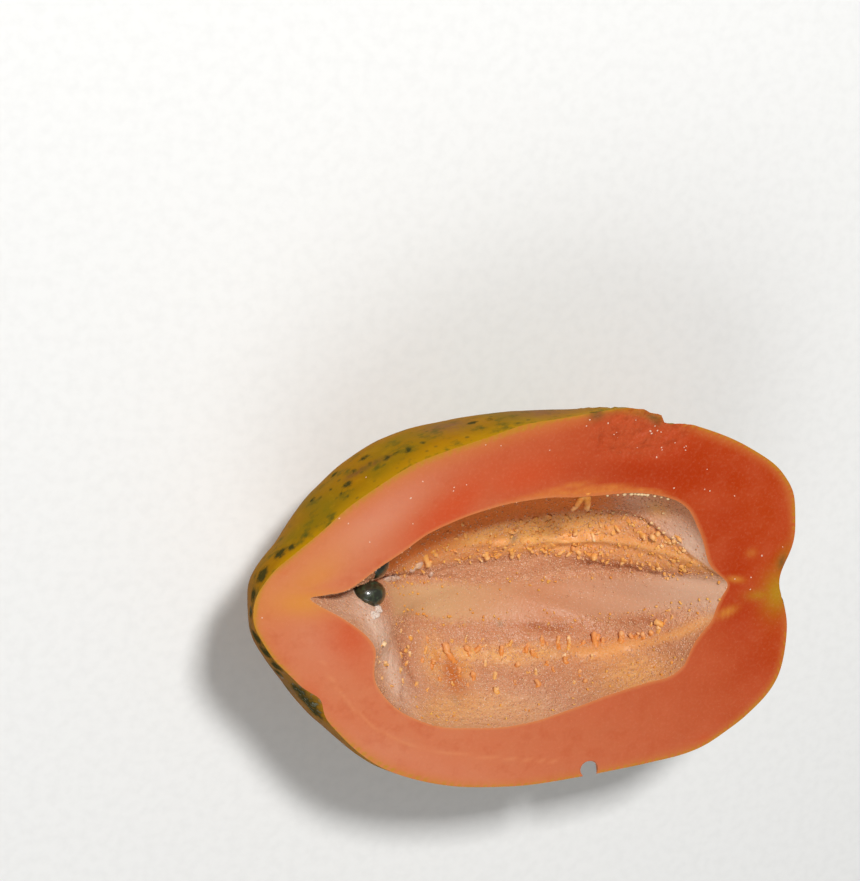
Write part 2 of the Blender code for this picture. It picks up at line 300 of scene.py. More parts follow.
def lose_chip(rim, share):
    """Takes away the chip that broke off the upper rim beside the torn flesh."""
    x, y = rim.T
    lost = ease(x, 28.4 * MM, 29.6 * MM) * (1 - ease(x, 30 * MM, 39 * MM)) * ease(y, 0, MM)
    return rim - np.outer(CHIP_DEPTH * share * lost, (0, 1))


def flesh_points(t, share):
    """Points of the cut face at a share of the way from the mouth to the rim."""
    mouth = edge_line(MOUTH, MOUTH_EDGE, t)
    flat = mouth + (press_bruise(lose_chip(edge_line(RIM, RIM_EDGE, t), 1.0)) - mouth) * share
    height = TOP - TEAR_DEPTH * tear_strength(flat[:, 0], flat[:, 1]) * ease(share, 0, 0.1)
    return np.column_stack((flat, height))


def skin_points(t, angle):
    """Section of the round back from the rim's +Y side at angle 0 to its -Y side at pi."""
    stray = 1 - float(ease(math.sin(angle), 0.0, 0.4))
    upper = lose_chip(edge_line(RIM, RIM_EDGE, t, stray), stray)
    lower = edge_line(RIM, RIM_EDGE, -t, stray)
    swell = SWELL_UPPER if math.cos(angle) > 0 else SWELL_LOWER
    reach = math.cos(angle) * (1 + curve(swell, t, False) * math.sin(angle))
    flat = (upper + lower) / 2 + (upper - lower) / 2 * reach[:, None]
    return np.column_stack((flat, TOP - DEPTH * curve(KEEL, t, False) * math.sin(angle)))


def press_scar(points):
    """Presses the stem scar into the points that lie at the stem end."""
    points = points.copy()
    reach = np.hypot(points[:, 1] - SCAR_SIDE, points[:, 2] - TOP) / SCAR_RADIUS
    points[:, 0] -= SCAR_DEPTH * hill(reach) * ease(points[:, 0], 55 * MM, 70 * MM)
    return points


def half_mesh():
    """The whole closed surface, with a map of how far each point is round the fruit and across its face."""
    points = []
    faces = []
    finishes = []
    places = []

    def add_row(row, around, across):
        start = len(points)
        row = press_scar(row)
        for point, u in zip(row, around):
            points.append((point[0] + OUTLINE_MIDDLE[0], point[1] + OUTLINE_MIDDLE[1], max(point[2], 0.0)))
            places.append((u, across))
        return list(range(start, start + len(row)))

    def add_face(corners, finish):
        faces.append(corners)
        finishes.append(finish)

    t = np.arange(AROUND) * POINTS / AROUND
    turn = np.arange(AROUND) / AROUND
    centre = cavity_points(np.zeros(1), 0.0)
    centre_index = add_row(centre, (0.5,), 0.0)[0]
    rings = []
    for k in range(1, CAVITY_ROWS + 1):
        share = math.sin(k / CAVITY_ROWS * math.pi / 2)
        rings.append(add_row(cavity_points(t, share), turn, share))
    for k in range(1, FLESH_ROWS + 1):
        rings.append(add_row(flesh_points(t, k / FLESH_ROWS), turn, 1 + k / FLESH_ROWS))
    for k in range(AROUND):
        add_face((centre_index, rings[0][(k + 1) % AROUND], rings[0][k]), LINING)
    for index, (row, after) in enumerate(zip(rings, rings[1:])):
        finish = LINING if index < CAVITY_ROWS - 1 else FLESH
        for k in range(AROUND):
            right = (k + 1) % AROUND
            add_face((row[k], row[right], after[right], after[k]), finish)
    rim = rings[-1]
    last = AROUND // 2
    across = [rim[1:last]]
    for k in range(1, SKIN_ROWS):
        share = k / SKIN_ROWS
        across.append(add_row(skin_points(t[1:last], math.pi * share), turn[1:last], 2 + share))
    across.append([rim[AROUND - k] for k in range(1, last)])
    for row, after in zip(across, across[1:]):
        add_face((rim[0], row[0], after[0]), SKIN)
        add_face((rim[last], after[-1], row[-1]), SKIN)
        for k in range(last - 2):
            add_face((row[k], row[k + 1], after[k + 1], after[k]), SKIN)
    mesh = bpy.data.meshes.new("papaya_half_shape")
    mesh.from_pydata(points, [], faces)
    mesh.polygons.foreach_set("material_index", finishes)
    layer = mesh.uv_layers.new(name="place")
    corners = np.empty(len(mesh.loops), np.int32)
    mesh.loops.foreach_get("vertex_index", corners)
    values = np.array(places)[corners]
    first = np.empty(len(mesh.polygons), np.int32)
    total = np.empty(len(mesh.polygons), np.int32)
    mesh.polygons.foreach_get("loop_start", first)
    mesh.polygons.foreach_get("loop_total", total)
    for start, size, finish in zip(first, total, finishes):
        around = values[start : start + size, 0]
        if finish == SKIN:
            far_side = around > 0.5
            values[start : start + size][far_side] = np.column_stack((
                1 - around[far_side],
                3 + 0 * around[far_side],
            ))
        elif around.max() - around.min() > 0.5:
            around[around < 0.25] += 1.0
    layer.data.foreach_set("uv", values.ravel())
    return mesh


# Places of the three finishes in the half's list of materials
LINING, FLESH, SKIN = 0, 1, 2
half_shape = half_mesh()


# Where the colours of the real half lie: the red and peach areas of the flesh, the orange seed bands and
# pale walls of the cavity, and the dark marks on the skin. Each is a soft area that a material reads.
# Some are painted light: shade on the far wall under the rim, in the creases and hollows of the lining and
# beside the seeds, and a lighter yellow on the upper seed band where it lies in half shade.
def soft_spots(x, y, spots):
    """Soft spots, each with its middle, half sizes, turn in degrees and strength, in millimetres."""
    total = np.zeros_like(x)
    for middle_x, middle_y, long, wide, turn, strength in spots:
        dx = x / MM - middle_x
        dy = y / MM - middle_y
        c, s = math.cos(math.radians(turn)), math.sin(math.radians(turn))
        total = np.maximum(
            total, strength * hill(np.hypot((dx * c + dy * s) / long, (dy * c - dx * s) / wide))
        )
    return total


def soft_line(x, y, line, width):
    """1 along a line of millimetre points and 0 beside it."""
    nearest = np.full_like(x, 1.0)
    for (ax, ay), (bx, by) in zip(line, line[1:]):
        along = np.array((bx - ax, by - ay)) * MM
        dx, dy = x - ax * MM, y - ay * MM
        share = np.clip((dx * along[0] + dy * along[1]) / (along @ along), 0, 1)
        nearest = np.minimum(nearest, np.hypot(dx - share * along[0], dy - share * along[1]))
    return hill(nearest / (width * MM))


RED_BLUSH = (
    (-27, 27, 15, 5, 42, 1.0), (-32, 20, 9, 3.5, 42, 0.5), (-8, 35, 12, 5, 12, 0.8),
    (-46, -12, 4, 6, 10, 0.35), (-50, -5, 6, 8, 20, 0.75),
)
DEEP_RED = (
    (30, 35, 26, 6, -3, 1.0), (55, 8, 6, 14, 0, 0.7), (8, 37, 12, 4, 5, 0.6), (60, -8, 5, 8, 0, 0.6),
    (65, -20, 6, 7, 0, 0.4), (50, 22, 8, 8, 0, 0.6), (58, -4, 7, 6, 0, 1.0), (12, 41, 10, 4, 0, 0.5),
    (35, 39, 12, 5, 0, 0.8),
)
PEACH_END = ((-72, 7, 6, 9, 0, 0.5), (-62, 13, 12, 4, 38, 0.8), (-63, 4.5, 8, 3.5, -5, 0.6))
YELLOW_CORE = ((-63, 5, 8, 3.6, 0, 0.8), (-60, 10.5, 7, 2.6, 30, 0.5), (-62, 2.5, 4, 1.2, -30, 0.4))
STEM_GREEN = ((70, 0.5, 4.5, 6, 10, 1.0), (64.5, 0, 4, 1.6, 0, 0.7), (70, 9, 2.5, 5, -20, 0.5))
LIGHT_FLECKS = ((56.4, 4.8, 2.6, 0.9, -8, 0.8), (55.2, -4.4, 3.0, 1.2, 22, 0.9), (60, 12, 1.5, 1.2, 0, 0.4))
PALE_FLESH = ((-47, 24, 16, 5, 38, 0.7), (-57, -8, 9, 5, -40, 0.3), (-35, -38, 30, 4, -20, 0.25))
RED_SPOTS = ((54, -41, 1.8, 1.3, 0, 0.8), (-60, -20, 3.5, 3, 0, 0.5), (-68, 13, 1.6, 0.6, 30, 0.4))
PALE_FIBRES = (
    (
        ((-20, 26.6), (-14, 28.3), (-6, 29.6), (2, 30.3), (13, 30.6), (24, 30.6), (31, 29.8), (36, 28.4)),
        -20, 0, 25, 36,
    ),
    (((-8, 30.4), (0.7, 31.6), (7.5, 32.8), (15, 33.8)), -8, 5, 6, 15),
    (((2, 30.9), (10, 31.4), (19, 31.7), (26, 31.4)), 0, 10, 15, 26),
)
SKIN_STRIP = ((12, 52.4), (18, 52.0), (24, 50.8), (28, 49.2))
VEIN = (
    (-57, -11), (-53, -17.5), (-48.7, -23.2), (-41.5, -30), (-34.3, -34.5), (-23, -38.2), (-11.8, -40.6),
    (11, -44),
)
PALE_LINING = (
    (50, 0, 8, 5, 20, 1.0), (45, 14, 9, 5, -50, 1.0), (-48, 1, 8, 3, -15, 0.5), (-30, -27, 6, 5, 0, 0.5),
    (30, 24, 7, 2.5, -20, 0.6), (2, -31, 28, 3.0, 3, 0.4),
)
# Translucent amber spots on the lower band, and orange brown painted shade beside and between the seeds
AMBER_AND_SEED_SHADE = (
    (-36.8, -2.2, 1.3, 1.6, 30, 0.7), (-38.0, 3.6, 2.6, 1.2, 0, 0.9), (-33, 5.5, 3, 2, 30, 0.5),
    (-13.6, -25.4, 2.6, 3.6, 20, 1.0), (-16.6, -22.2, 1.6, 2.6, 20, 0.6), (-10.2, -24.6, 2.4, 1.6, 20, 0.5),
)
ORANGE_LUMPS = (
    (15, 8, 8, 4, 5, 1.0), (22, 12, 7, 3, 0, 0.7), (0, 8.5, 4, 2.2, 0, 0.9), (30, -20, 10, 2.5, 15, 0.8),
)
RIM_SCABS = (
    (9.8, 50.8, 2.2, 1.4, 0, 1.0), (26.4, 49.2, 2.6, 1.0, -30, 1.0), (21.8, 51.0, 1.6, 0.5, -10, 0.6),
    (69.8, 9.0, 1.2, 2.0, 0, 0.9),
)
# Yellow seed-band tissue, on the upper band also painted lighter where it lies in half shade
YELLOW_LINING_AND_PAINTED_LIGHT = (
    (33, -23.5, 10, 3.0, 15, 0.7), (-4, 13, 7, 2.5, 15, 0.6), (-18, -22, 3.5, 4.5, 0, 0.7),
    (-9.5, -24.5, 2.5, 2.5, 0, 0.8), (-17, -21.5, 4, 2, 5, 1.0), (-8, -22, 6, 1.8, 0, 0.9),
    (2, -22.5, 8, 1.8, 0, 0.8), (11, -21.5, 6, 1.6, 3, 0.8), (-8, 9.5, 9, 2.0, 12, 1.0),
    (9, 10, 9, 5, 5, 1.0), (20, 13.5, 7, 3.5, 5, 0.8), (36, 21.5, 2.4, 2, -30, 0.7),
    (-15, -30.5, 22, 2.2, -2, 0.6),
)
# Reddish brown patches in the hollows beside the smooth band and along the creases: painted shade
RUDDY_SHADE_SPOTS = (
    (12, -15.8, 16, 2.0, 0, 0.55), (38, -11, 5, 1.6, 25, 0.45), (28, 1.8, 13, 1.8, 4, 0.55),
    (4, 2.2, 9, 1.2, 3, 0.35), (-28, -19, 2.0, 7, 15, 0.45), (-33, 2.5, 3.5, 2.0, 20, 0.5),
)
GREY_SPOTS = ((3.7, 8.9, 1.0, 1.8, 0, 1.0), (2.8, -15.9, 0.8, 0.8, 0, 0.8), (-15.4, -29.5, 0.9, 0.9, 0, 0.6))
# Lines along the creases of the lining, in millimetres, painted dark as crease shade
CREASE_SHADE_LINES = (
    ((-28.5, -16), (-28, -19), (-30, -22.5), (-33, -26)), ((-30, -1.0), (-27, -1.4)),
    ((24, 1.0), (29, 1.6), (34, 2.4), (41, 2.2)), ((11, -16.2), (16, -16.6), (21, -16.2)),
    ((36, -12.6), (39, -11.8), (42, -9.8)),
)
SKIN_STAINS = (
    (-44.5, 35.6, 38.6, 1.6), (-41.5, 37.9, 45.8, 1.6), (-36.6, 40.3, 47.5, 1.6), (-39, 39.2, 46.8, 1.2),
    (-50.6, 30.2, 35, 1.5), (-51.1, 31.4, 46.2, 1.9), (-57.2, 25.4, 39.6, 1.2), (-68.1, 15.9, 50.6, 2.6),
    (-66, 18, 52, 1.6), (-72.8, 11.1, 51.4, 3.0), (-74.7, 6, 51.4, 2.4), (-75.3, 1.5, 51.5, 2.0),
    (-32.5, 42, 48, 1.0), (-25.9, 43.6, 52, 1.0), (-18.2, 45.6, 43.2, 1.8), (-14, 46.5, 43.9, 1.6),
    (-54, 28.9, 42.4, 1.0), (-56.3, 26.8, 42.1, 0.9), (-45, 36.4, 44, 1.2), (-48, 33.6, 42, 1.3),
    (-53.2, 29.7, 48, 0.8), (-52.4, 30, 51.1, 0.8), (-73, -4.6, 52.5, 3.0), (-71, -8.6, 52.8, 3.2),
    (-68, -12.5, 52.6, 2.6), (-61.8, -19.5, 52.5, 3.4), (-59, -23, 52, 4.4), (-56.7, -25.6, 51.8, 3.6),
    (-66, -15, 50, 2.0), (29, 49, 54, 2.2), (9.5, 51.2, 54.5, 2.0), (70.4, 8, 53, 3.0),
    (70.2, 3, 53, 3.2), (71.8, -1.5, 53, 3.0),
)
SKIN_SCAR = (
    (-49.6, 32.6, 43.2, 1.5), (-48.3, 33.6, 43.8, 1.7), (-47.0, 34.5, 43.9, 1.6), (-45.5, 35.6, 44.2, 1.4),
    (-44.0, 36.6, 44.9, 1.3), (-42.6, 37.3, 45.4, 1.2), (-41, 38.2, 45.8, 0.9),
)
SKIN_RUST = ((-64, -18, 44, 14), (-72, -8, 44, 12), (-52, -32, 42, 12), (-24, 44, 40, 6), (0, 48.5, 44, 9))
SKIN_FLAKES = ((-59, -23, 52, 5), (-64, -17, 52, 4), (-75, 1, 51, 2))
# The far wall's end towards the seeds, where the upper band lies in the rim's shadow: painted shade
SHADED_FAR_WALL_END = ((-17, 8.5, 9, 3, 25, 0.7),)
TAN_PATCH = ((-8, 8.2, 7, 1.6, 8, 1.0),)


def stains(x, y, z, spots):
    """Soft round stains on the skin, each with its middle and size in millimetres."""
    total = np.zeros_like(x)
    for at_x, at_y, at_z, size in spots:
        away = np.sqrt((x / MM - at_x) ** 2 + (y / MM - at_y) ** 2 + (z / MM - at_z) ** 2)
        total = np.maximum(total, hill(away / size))
    return total


def rind_depth(x, y):
    """Distance from each point of the cut face to the rim."""
    t = np.arange(0, POINTS, 0.1)
    rim = curve(RIM, t, True) * HALF_SIZE + OUTLINE_MIDDLE
    nearest = np.full_like(x, 1.0)
    for rim_x, rim_y in rim:
        nearest = np.minimum(nearest, np.hypot(x - rim_x, y - rim_y))
    return nearest


def paint(mesh):
    """Writes each soft area to the mesh, one value a point."""
    points = np.empty(len(mesh.vertices) * 3, np.float32)
    mesh.vertices.foreach_get("co", points)
    points = points.reshape(-1, 3).astype(float)
    x, y, z = points.T
    inside = ((TOP - z) > 0.02 * MM) & in_cavity(mesh)
    fold, fold_ends = beside(WALL_FOLD, x, y)
    upper = between(UPPER_SEED_BAND, UPPER_FAR_EDGE, x, y, 1.2 * MM)
    lower = between(LOWER_SEED_BAND, LOWER_FAR_EDGE, x, y, 1.2 * MM)
    ropes = np.zeros_like(x)
    for rope in (UPPER_ROPE, LOWER_ROPE):
        offset, ends = beside(rope, x, y)
        ropes = ropes + hill(offset / (1.2 * MM)) * ends
    # Painted shade: dark along the creases, under the fold and beside the lobe
    crease_shade = 0.7 * sum(soft_line(x, y, line, 0.8) for line in CREASE_SHADE_LINES)
    crease_shade = crease_shade + 0.8 * fold_ends * hill((fold + 0.3 * MM) / (0.4 * MM)) * ease(x, 26 * MM, 40 * MM)
    lobe, lobe_ends = lobe_distance(x, y)
    lobe_top = lobe_ends * hill(lobe / (4.6 * MM))
    lobe_crease_shade = 0.6 * lobe_ends * hill((lobe - LOBE_CREASE_AT) / (0.8 * MM))
    crease_shade = crease_shade + lobe_crease_shade * (1 - ease(y, -17 * MM, -11 * MM))
    right_wall = ease(fold, 0.0, 1.5 * MM) * fold_ends * ease(x, 26 * MM, 36 * MM)
    clumps = np.clip(upper + lower, 0, 1) * (1 - 0.8 * np.clip(ropes, 0, 1))
    # The far wall under the upper rim, where the rim's shadow falls: its deep orange is partly the tissue's
    # own colour and partly painted shade
    far_edge = y - np.interp(x, UPPER_FAR_EDGE[:, 0] * MM, UPPER_FAR_EDGE[:, 1] * MM)
    shaded_far_wall = ease(far_edge, -1.5 * MM, 1.0 * MM) * (1 - ease(x, 20 * MM, 34 * MM))
    shaded_far_wall = shaded_far_wall * ease(x, -44 * MM, -34 * MM)
    shaded_far_wall = np.maximum(shaded_far_wall, soft_spots(x, y, SHADED_FAR_WALL_END) * (y < 20 * MM))
    rind_width = 0.9 * MM + 0.8 * MM * hill((x + 25 * MM) / (40 * MM)) * ease(y, 0, 12 * MM)
    depth = rind_depth(x, y)
    crust = (1 - ease(depth, 0.3 * MM, 1.1 * MM)) * ease(x, 66 * MM, 68 * MM)
    crust = crust * hill((y - 3.5 * MM) / (6 * MM))
    fibres = np.zeros_like(x)
    for line, start, full, fade, end in PALE_FIBRES:
        shown = soft_line(x, y, line, 0.55) * ease(x, start * MM, full * MM)
        fibres = fibres + shown * (1 - ease(x, fade * MM, end * MM))
    areas = {
        # Deeper red towards the stem end and far rim, mostly the flesh's own colour; the lighter side is in
        # part painted sheen
        "deep": np.clip((0.8 * x + 0.6 * y + 37 * MM) / (90 * MM), 0, 1),
        "deepest": soft_spots(x, y, DEEP_RED),
        "blush": soft_spots(x, y, RED_BLUSH + RED_SPOTS),
        "peach": soft_spots(x, y, PEACH_END),
        "yellow": soft_spots(x, y, YELLOW_CORE + LIGHT_FLECKS),
        "green": soft_spots(x, y, STEM_GREEN),
        "pale": soft_spots(x, y, PALE_FLESH),
        "fibre": np.clip(fibres, 0, 1),
        "rind": np.maximum(1 - ease(depth, 0.2 * MM, rind_width), soft_line(x, y, SKIN_STRIP, 0.9)),
        "near_rind": 1 - ease(depth, 0.3 * MM, 3.4 * rind_width),
        "skin_dark": stains(x, y, z, SKIN_STAINS),
        "skin_rust": stains(x, y, z, SKIN_RUST),
        "skin_scar": stains(x, y, z, SKIN_SCAR),
        "flaked": stains(x, y, z, SKIN_FLAKES),
        "vein": soft_line(x, y, VEIN, 0.35),
        "torn": tear_strength(x - OUTLINE_MIDDLE[0], y - OUTLINE_MIDDLE[1]),
        "orange": np.clip(
            0.75 * (upper + lower) + soft_spots(x, y, ORANGE_LUMPS) * 0.5 + 0.5 * ropes, 0, 1
        ),
        "smooth": between(SMOOTH_BAND_LOW, SMOOTH_BAND_HIGH, x, y, 1.5 * MM),
        "whitish": np.maximum(
            lobe_top, soft_spots(x, y, PALE_LINING) * (1 - upper * (1 - ease(fold, 0, MM)))
        ),
        "shaded_far_wall": shaded_far_wall,
        "crease": np.clip(crease_shade, 0, 1),
        "amber_and_seed_shade": soft_spots(x, y, AMBER_AND_SEED_SHADE),
        "grey": soft_spots(x, y, GREY_SPOTS),
        "bruised": np.maximum(soft_spots(x, y, RIM_SCABS), crust),
        "yellow_and_painted_light": soft_spots(x, y, YELLOW_LINING_AND_PAINTED_LIGHT),
        "ruddy_shade": soft_spots(x, y, RUDDY_SHADE_SPOTS),
    }
    areas["rope"] = np.clip(ropes, 0, 1)
    clumpy = inside * (clumps - 0.75 * upper * (1 - ease(x, -16 * MM, 8 * MM))) * (1 - right_wall)
    clumpy = np.clip(clumpy * ease(x, -26 * MM, -16 * MM), 0, 1)
    areas["clumpy"] = clumpy * (1 - 0.8 * shaded_far_wall)
    calm = (1 - 0.9 * areas["smooth"]) * (1 - 0.95 * areas["rope"]) * (1 - 0.5 * right_wall)
    tan_patch = soft_spots(x, y, TAN_PATCH)
    calm = calm * (1 - 0.7 * tan_patch) * (1 - 0.45 * upper)
    areas["grainy"] = inside * calm * (1 - 0.75 * areas["shaded_far_wall"]) * (1 - 0.8 * areas["whitish"])
    stubble = 0.9 * lower + 0.55 * upper
    stubble = stubble + 0.5 * soft_line(x, y, SMOOTH_BAND_LOW, 1.6)
    stubble = stubble + 0.5 * soft_line(x, y, SMOOTH_BAND_HIGH, 1.6)
    near_edge = ease(TOP - z, 0.5 * MM, 1 * MM) * (1 - ease(TOP - z, 5 * MM, 12 * MM))
    stubble = stubble + 0.25 * near_edge * (1 - ease(y, -20 * MM, -14 * MM))
    areas["stubbly"] = inside * (1 - 0.85 * areas["shaded_far_wall"]) * np.clip(stubble, 0, 1)
    areas["outside"] = 1.0 - face_side(mesh)
    areas["lumpy"] = inside * calm * ease(TOP - z, 0, 2.5 * MM)
    for name, values in areas.items():
        mesh.attributes.new(name, "FLOAT", "POINT").data.foreach_set("value", values.astype(np.float32))


def face_side(mesh):
    """Which points belong to the lining or the cut face, so that only the skin is dented."""
    inner = np.zeros(len(mesh.vertices), bool)
    for polygon in mesh.polygons:
        if polygon.material_index != SKIN:
            inner[list(polygon.vertices)] = True
    return inner


def in_cavity(mesh):
    """Which points belong to the cavity's lining."""
    inside = np.zeros(len(mesh.vertices), bool)
    for polygon in mesh.polygons:
        if polygon.material_index == LINING:
            inside[list(polygon.vertices)] = True
    return inside


paint(half_shape)


# The flesh: ripe papaya, cut clean and moist, so it is smooth, softly shiny and lets some light in. It is
# peach at the pointed end and deepens to orange red at the stem end, with a lighter band under the skin.
# The lighter peach towards the pointed end and the near rim is partly its own colour and partly painted
# sheen.
def add(tree, kind, sockets=None, **settings):
    """Adds a node with its settings, values and links, and returns it."""
    node = tree.nodes.new(kind)
    for name, value in settings.items():
        setattr(node, name, value)
    for key, value in (sockets or {}).items():
        socket = node.inputs[key]
        if isinstance(value, bpy.types.NodeSocket):
            tree.links.new(value, socket)
        else:
            socket.default_value = value
    return node


def linear(code):
    """Linear colour of an sRGB hex code."""
    shares = (int(code[i : i + 2], 16) / 255 for i in (0, 2, 4))
    return tuple(v / 12.92 if v <= 0.04045 else ((v + 0.055) / 1.055) ** 2.4 for v in shares) + (1.0,)


def new_material(name):
    """An empty node material with its surface shader, ready for links."""
    material = bpy.data.materials.new(name)
    material.use_nodes = True
    return material, material.node_tree, material.node_tree.nodes["Principled BSDF"]


def layered(tree, colour, layers):
    """Lays colours over each other, each by its own mask, which may first run from one range to another."""
    for mask, *ranges, code in layers:
        if ranges:
            mask = add(tree, "ShaderNodeMapRange", dict(enumerate((mask, *ranges)))).outputs[0]
        over = linear(code) if isinstance(code, str) else code
        colour = add(tree, "ShaderNodeMix", {0: mask, 6: colour, 7: over}, data_type="RGBA").outputs[2]
    return colour


def area(tree, name, strength=1.0):
    """A soft area of the half, made stronger or weaker by a number or by another mask."""
    value = add(tree, "ShaderNodeAttribute", attribute_name=name).outputs["Fac"]
    return add(
        tree, "ShaderNodeMath", {0: value, 1: strength}, operation="MULTIPLY", use_clamp=True
    ).outputs[0]


STREAKS_AROUND = 150.0
STREAKS_ACROSS = 3.0
TORN_WRINKLES = 14.0


def flesh_material():
    material, tree, surface = new_material("moist_cut_papaya_flesh")
    place = add(tree, "ShaderNodeTexCoord").outputs["Object"]
    turned = add(tree, "ShaderNodeUVMap", uv_map="place").outputs[0]
    across = add(tree, "ShaderNodeSeparateXYZ", {0: turned}).outputs["Y"]
    mouth_edge = add(tree, "ShaderNodeMapRange", {0: across, 1: 1.0, 2: 1.05, 3: 0.55, 4: 0.0}).outputs[0]
    clouded = add(
        tree, "ShaderNodeTexNoise", {"Vector": place, "Scale": 1 / (2.2 * MM), "Detail": 3.0}
    ).outputs["Fac"]
    cloudy = add(
        tree, "ShaderNodeTexNoise", {"Vector": place, "Scale": 1 / (11 * MM), "Detail": 3.0}
    ).outputs["Fac"]
    clotted = add(
        tree,
        "ShaderNodeTexNoise",
        {"Vector": place, "Scale": 1 / (4 * MM), "Detail": 4.0, "Roughness": 0.6},
    ).outputs["Fac"]
    stretched = add(
        tree,
        "ShaderNodeVectorMath",
        {0: turned, 1: (STREAKS_AROUND, STREAKS_ACROSS, 0.0)},
        operation="MULTIPLY",
    ).outputs[0]
    streaky = add(tree, "ShaderNodeTexNoise", {"Vector": stretched, "Scale": 1.0}).outputs["Fac"]
    speckled = add(
        tree, "ShaderNodeTexNoise", {"Vector": place, "Scale": 1 / (0.5 * MM), "Detail": 1.0}
    ).outputs["Fac"]
    thinned = add(tree, "ShaderNodeMapRange", {0: clouded, 1: 0.35, 2: 0.6, 3: 0.85, 4: 0.51}).outputs[0]
    # Painted shade: torn flesh darker where its bump sinks
    hollow_shade = add(tree, "ShaderNodeMapRange", {0: clouded, 1: 0.45, 2: 0.36, 3: 0.0, 4: 0.4}).outputs[0]
    fine = add(tree, "ShaderNodeTexNoise", {"Vector": place, "Scale": 1 / (0.9 * MM)}).outputs["Fac"]
    colour = layered(
        tree,
        linear("CC7852"),
        (
            # Deeper red towards the stem end; the lighter side left by it is partly painted sheen
            (area(tree, "deep"), "B03A0C"),
            (cloudy, 0.35, 0.75, 0.0, 0.4, "C96440"),
            (clotted, 0.5, 0.72, 0.0, 0.36, "B8502C"),
            (area(tree, "deepest", 0.8), "A82E06"),
            (streaky, 0.55, 0.8, 0.0, 0.05, "D88E64"),
            (area(tree, "pale", 0.85), "D68E70"),
            (area(tree, "blush", 0.85), "C64C26"),
            (area(tree, "peach", 0.85), "D0844A"),
            (area(tree, "near_rind", 0.5), "C87A3C"),
            (area(tree, "rind", 0.9), "B4851C"),
            (area(tree, "yellow", 0.8), "D48C38"),
            (area(tree, "green", 0.9), "AE841C"),
            (area(tree, "fibre", thinned), "D4803A"),
            (area(tree, "vein", 0.35), "DC9060"),
            (mouth_edge, "D58A50"),
            (area(tree, "torn", 0.5), "B8502C"),
            (area(tree, "torn", hollow_shade), "A03A18"),
            (area(tree, "bruised", 0.9), "6A4C28"),
            (speckled, 0.66, 0.8, 0.0, 0.12, "E0A47C"),
            (fine, 0.5, 0.75, 0.0, 0.1, "E08C66"),
        ),
    )
    wrinkled = add(tree, "ShaderNodeMath", {0: clouded, 1: TORN_WRINKLES}, operation="MULTIPLY").outputs[0]
    wrinkled = add(
        tree, "ShaderNodeMath", {0: wrinkled, 1: area(tree, "torn")}, operation="MULTIPLY"
    ).outputs[0]
    rugged = add(tree, "ShaderNodeMath", {0: fine, 1: wrinkled}).outputs[0]
    gloss = add(tree, "ShaderNodeMapRange", {0: fine, 1: 0.3, 2: 0.7, 3: 0.34, 4: 0.5}).outputs[0]
    bump = add(tree, "ShaderNodeBump", {"Height": rugged, "Strength": 0.45, "Distance": 0.12 * MM})
    tree.links.new(colour, surface.inputs["Base Color"])
    tree.links.new(gloss, surface.inputs["Roughness"])
    tree.links.new(bump.outputs[0], surface.inputs["Normal"])
    surface.inputs["IOR"].default_value = 1.38
    surface.inputs["Specular IOR Level"].default_value = 0.15
    surface.inputs["Subsurface Weight"].default_value = 0.12
    surface.inputs["Subsurface Radius"].default_value = (1.0, 0.35, 0.15)
    surface.inputs["Subsurface Scale"].default_value = 1.5 * MM
    return material
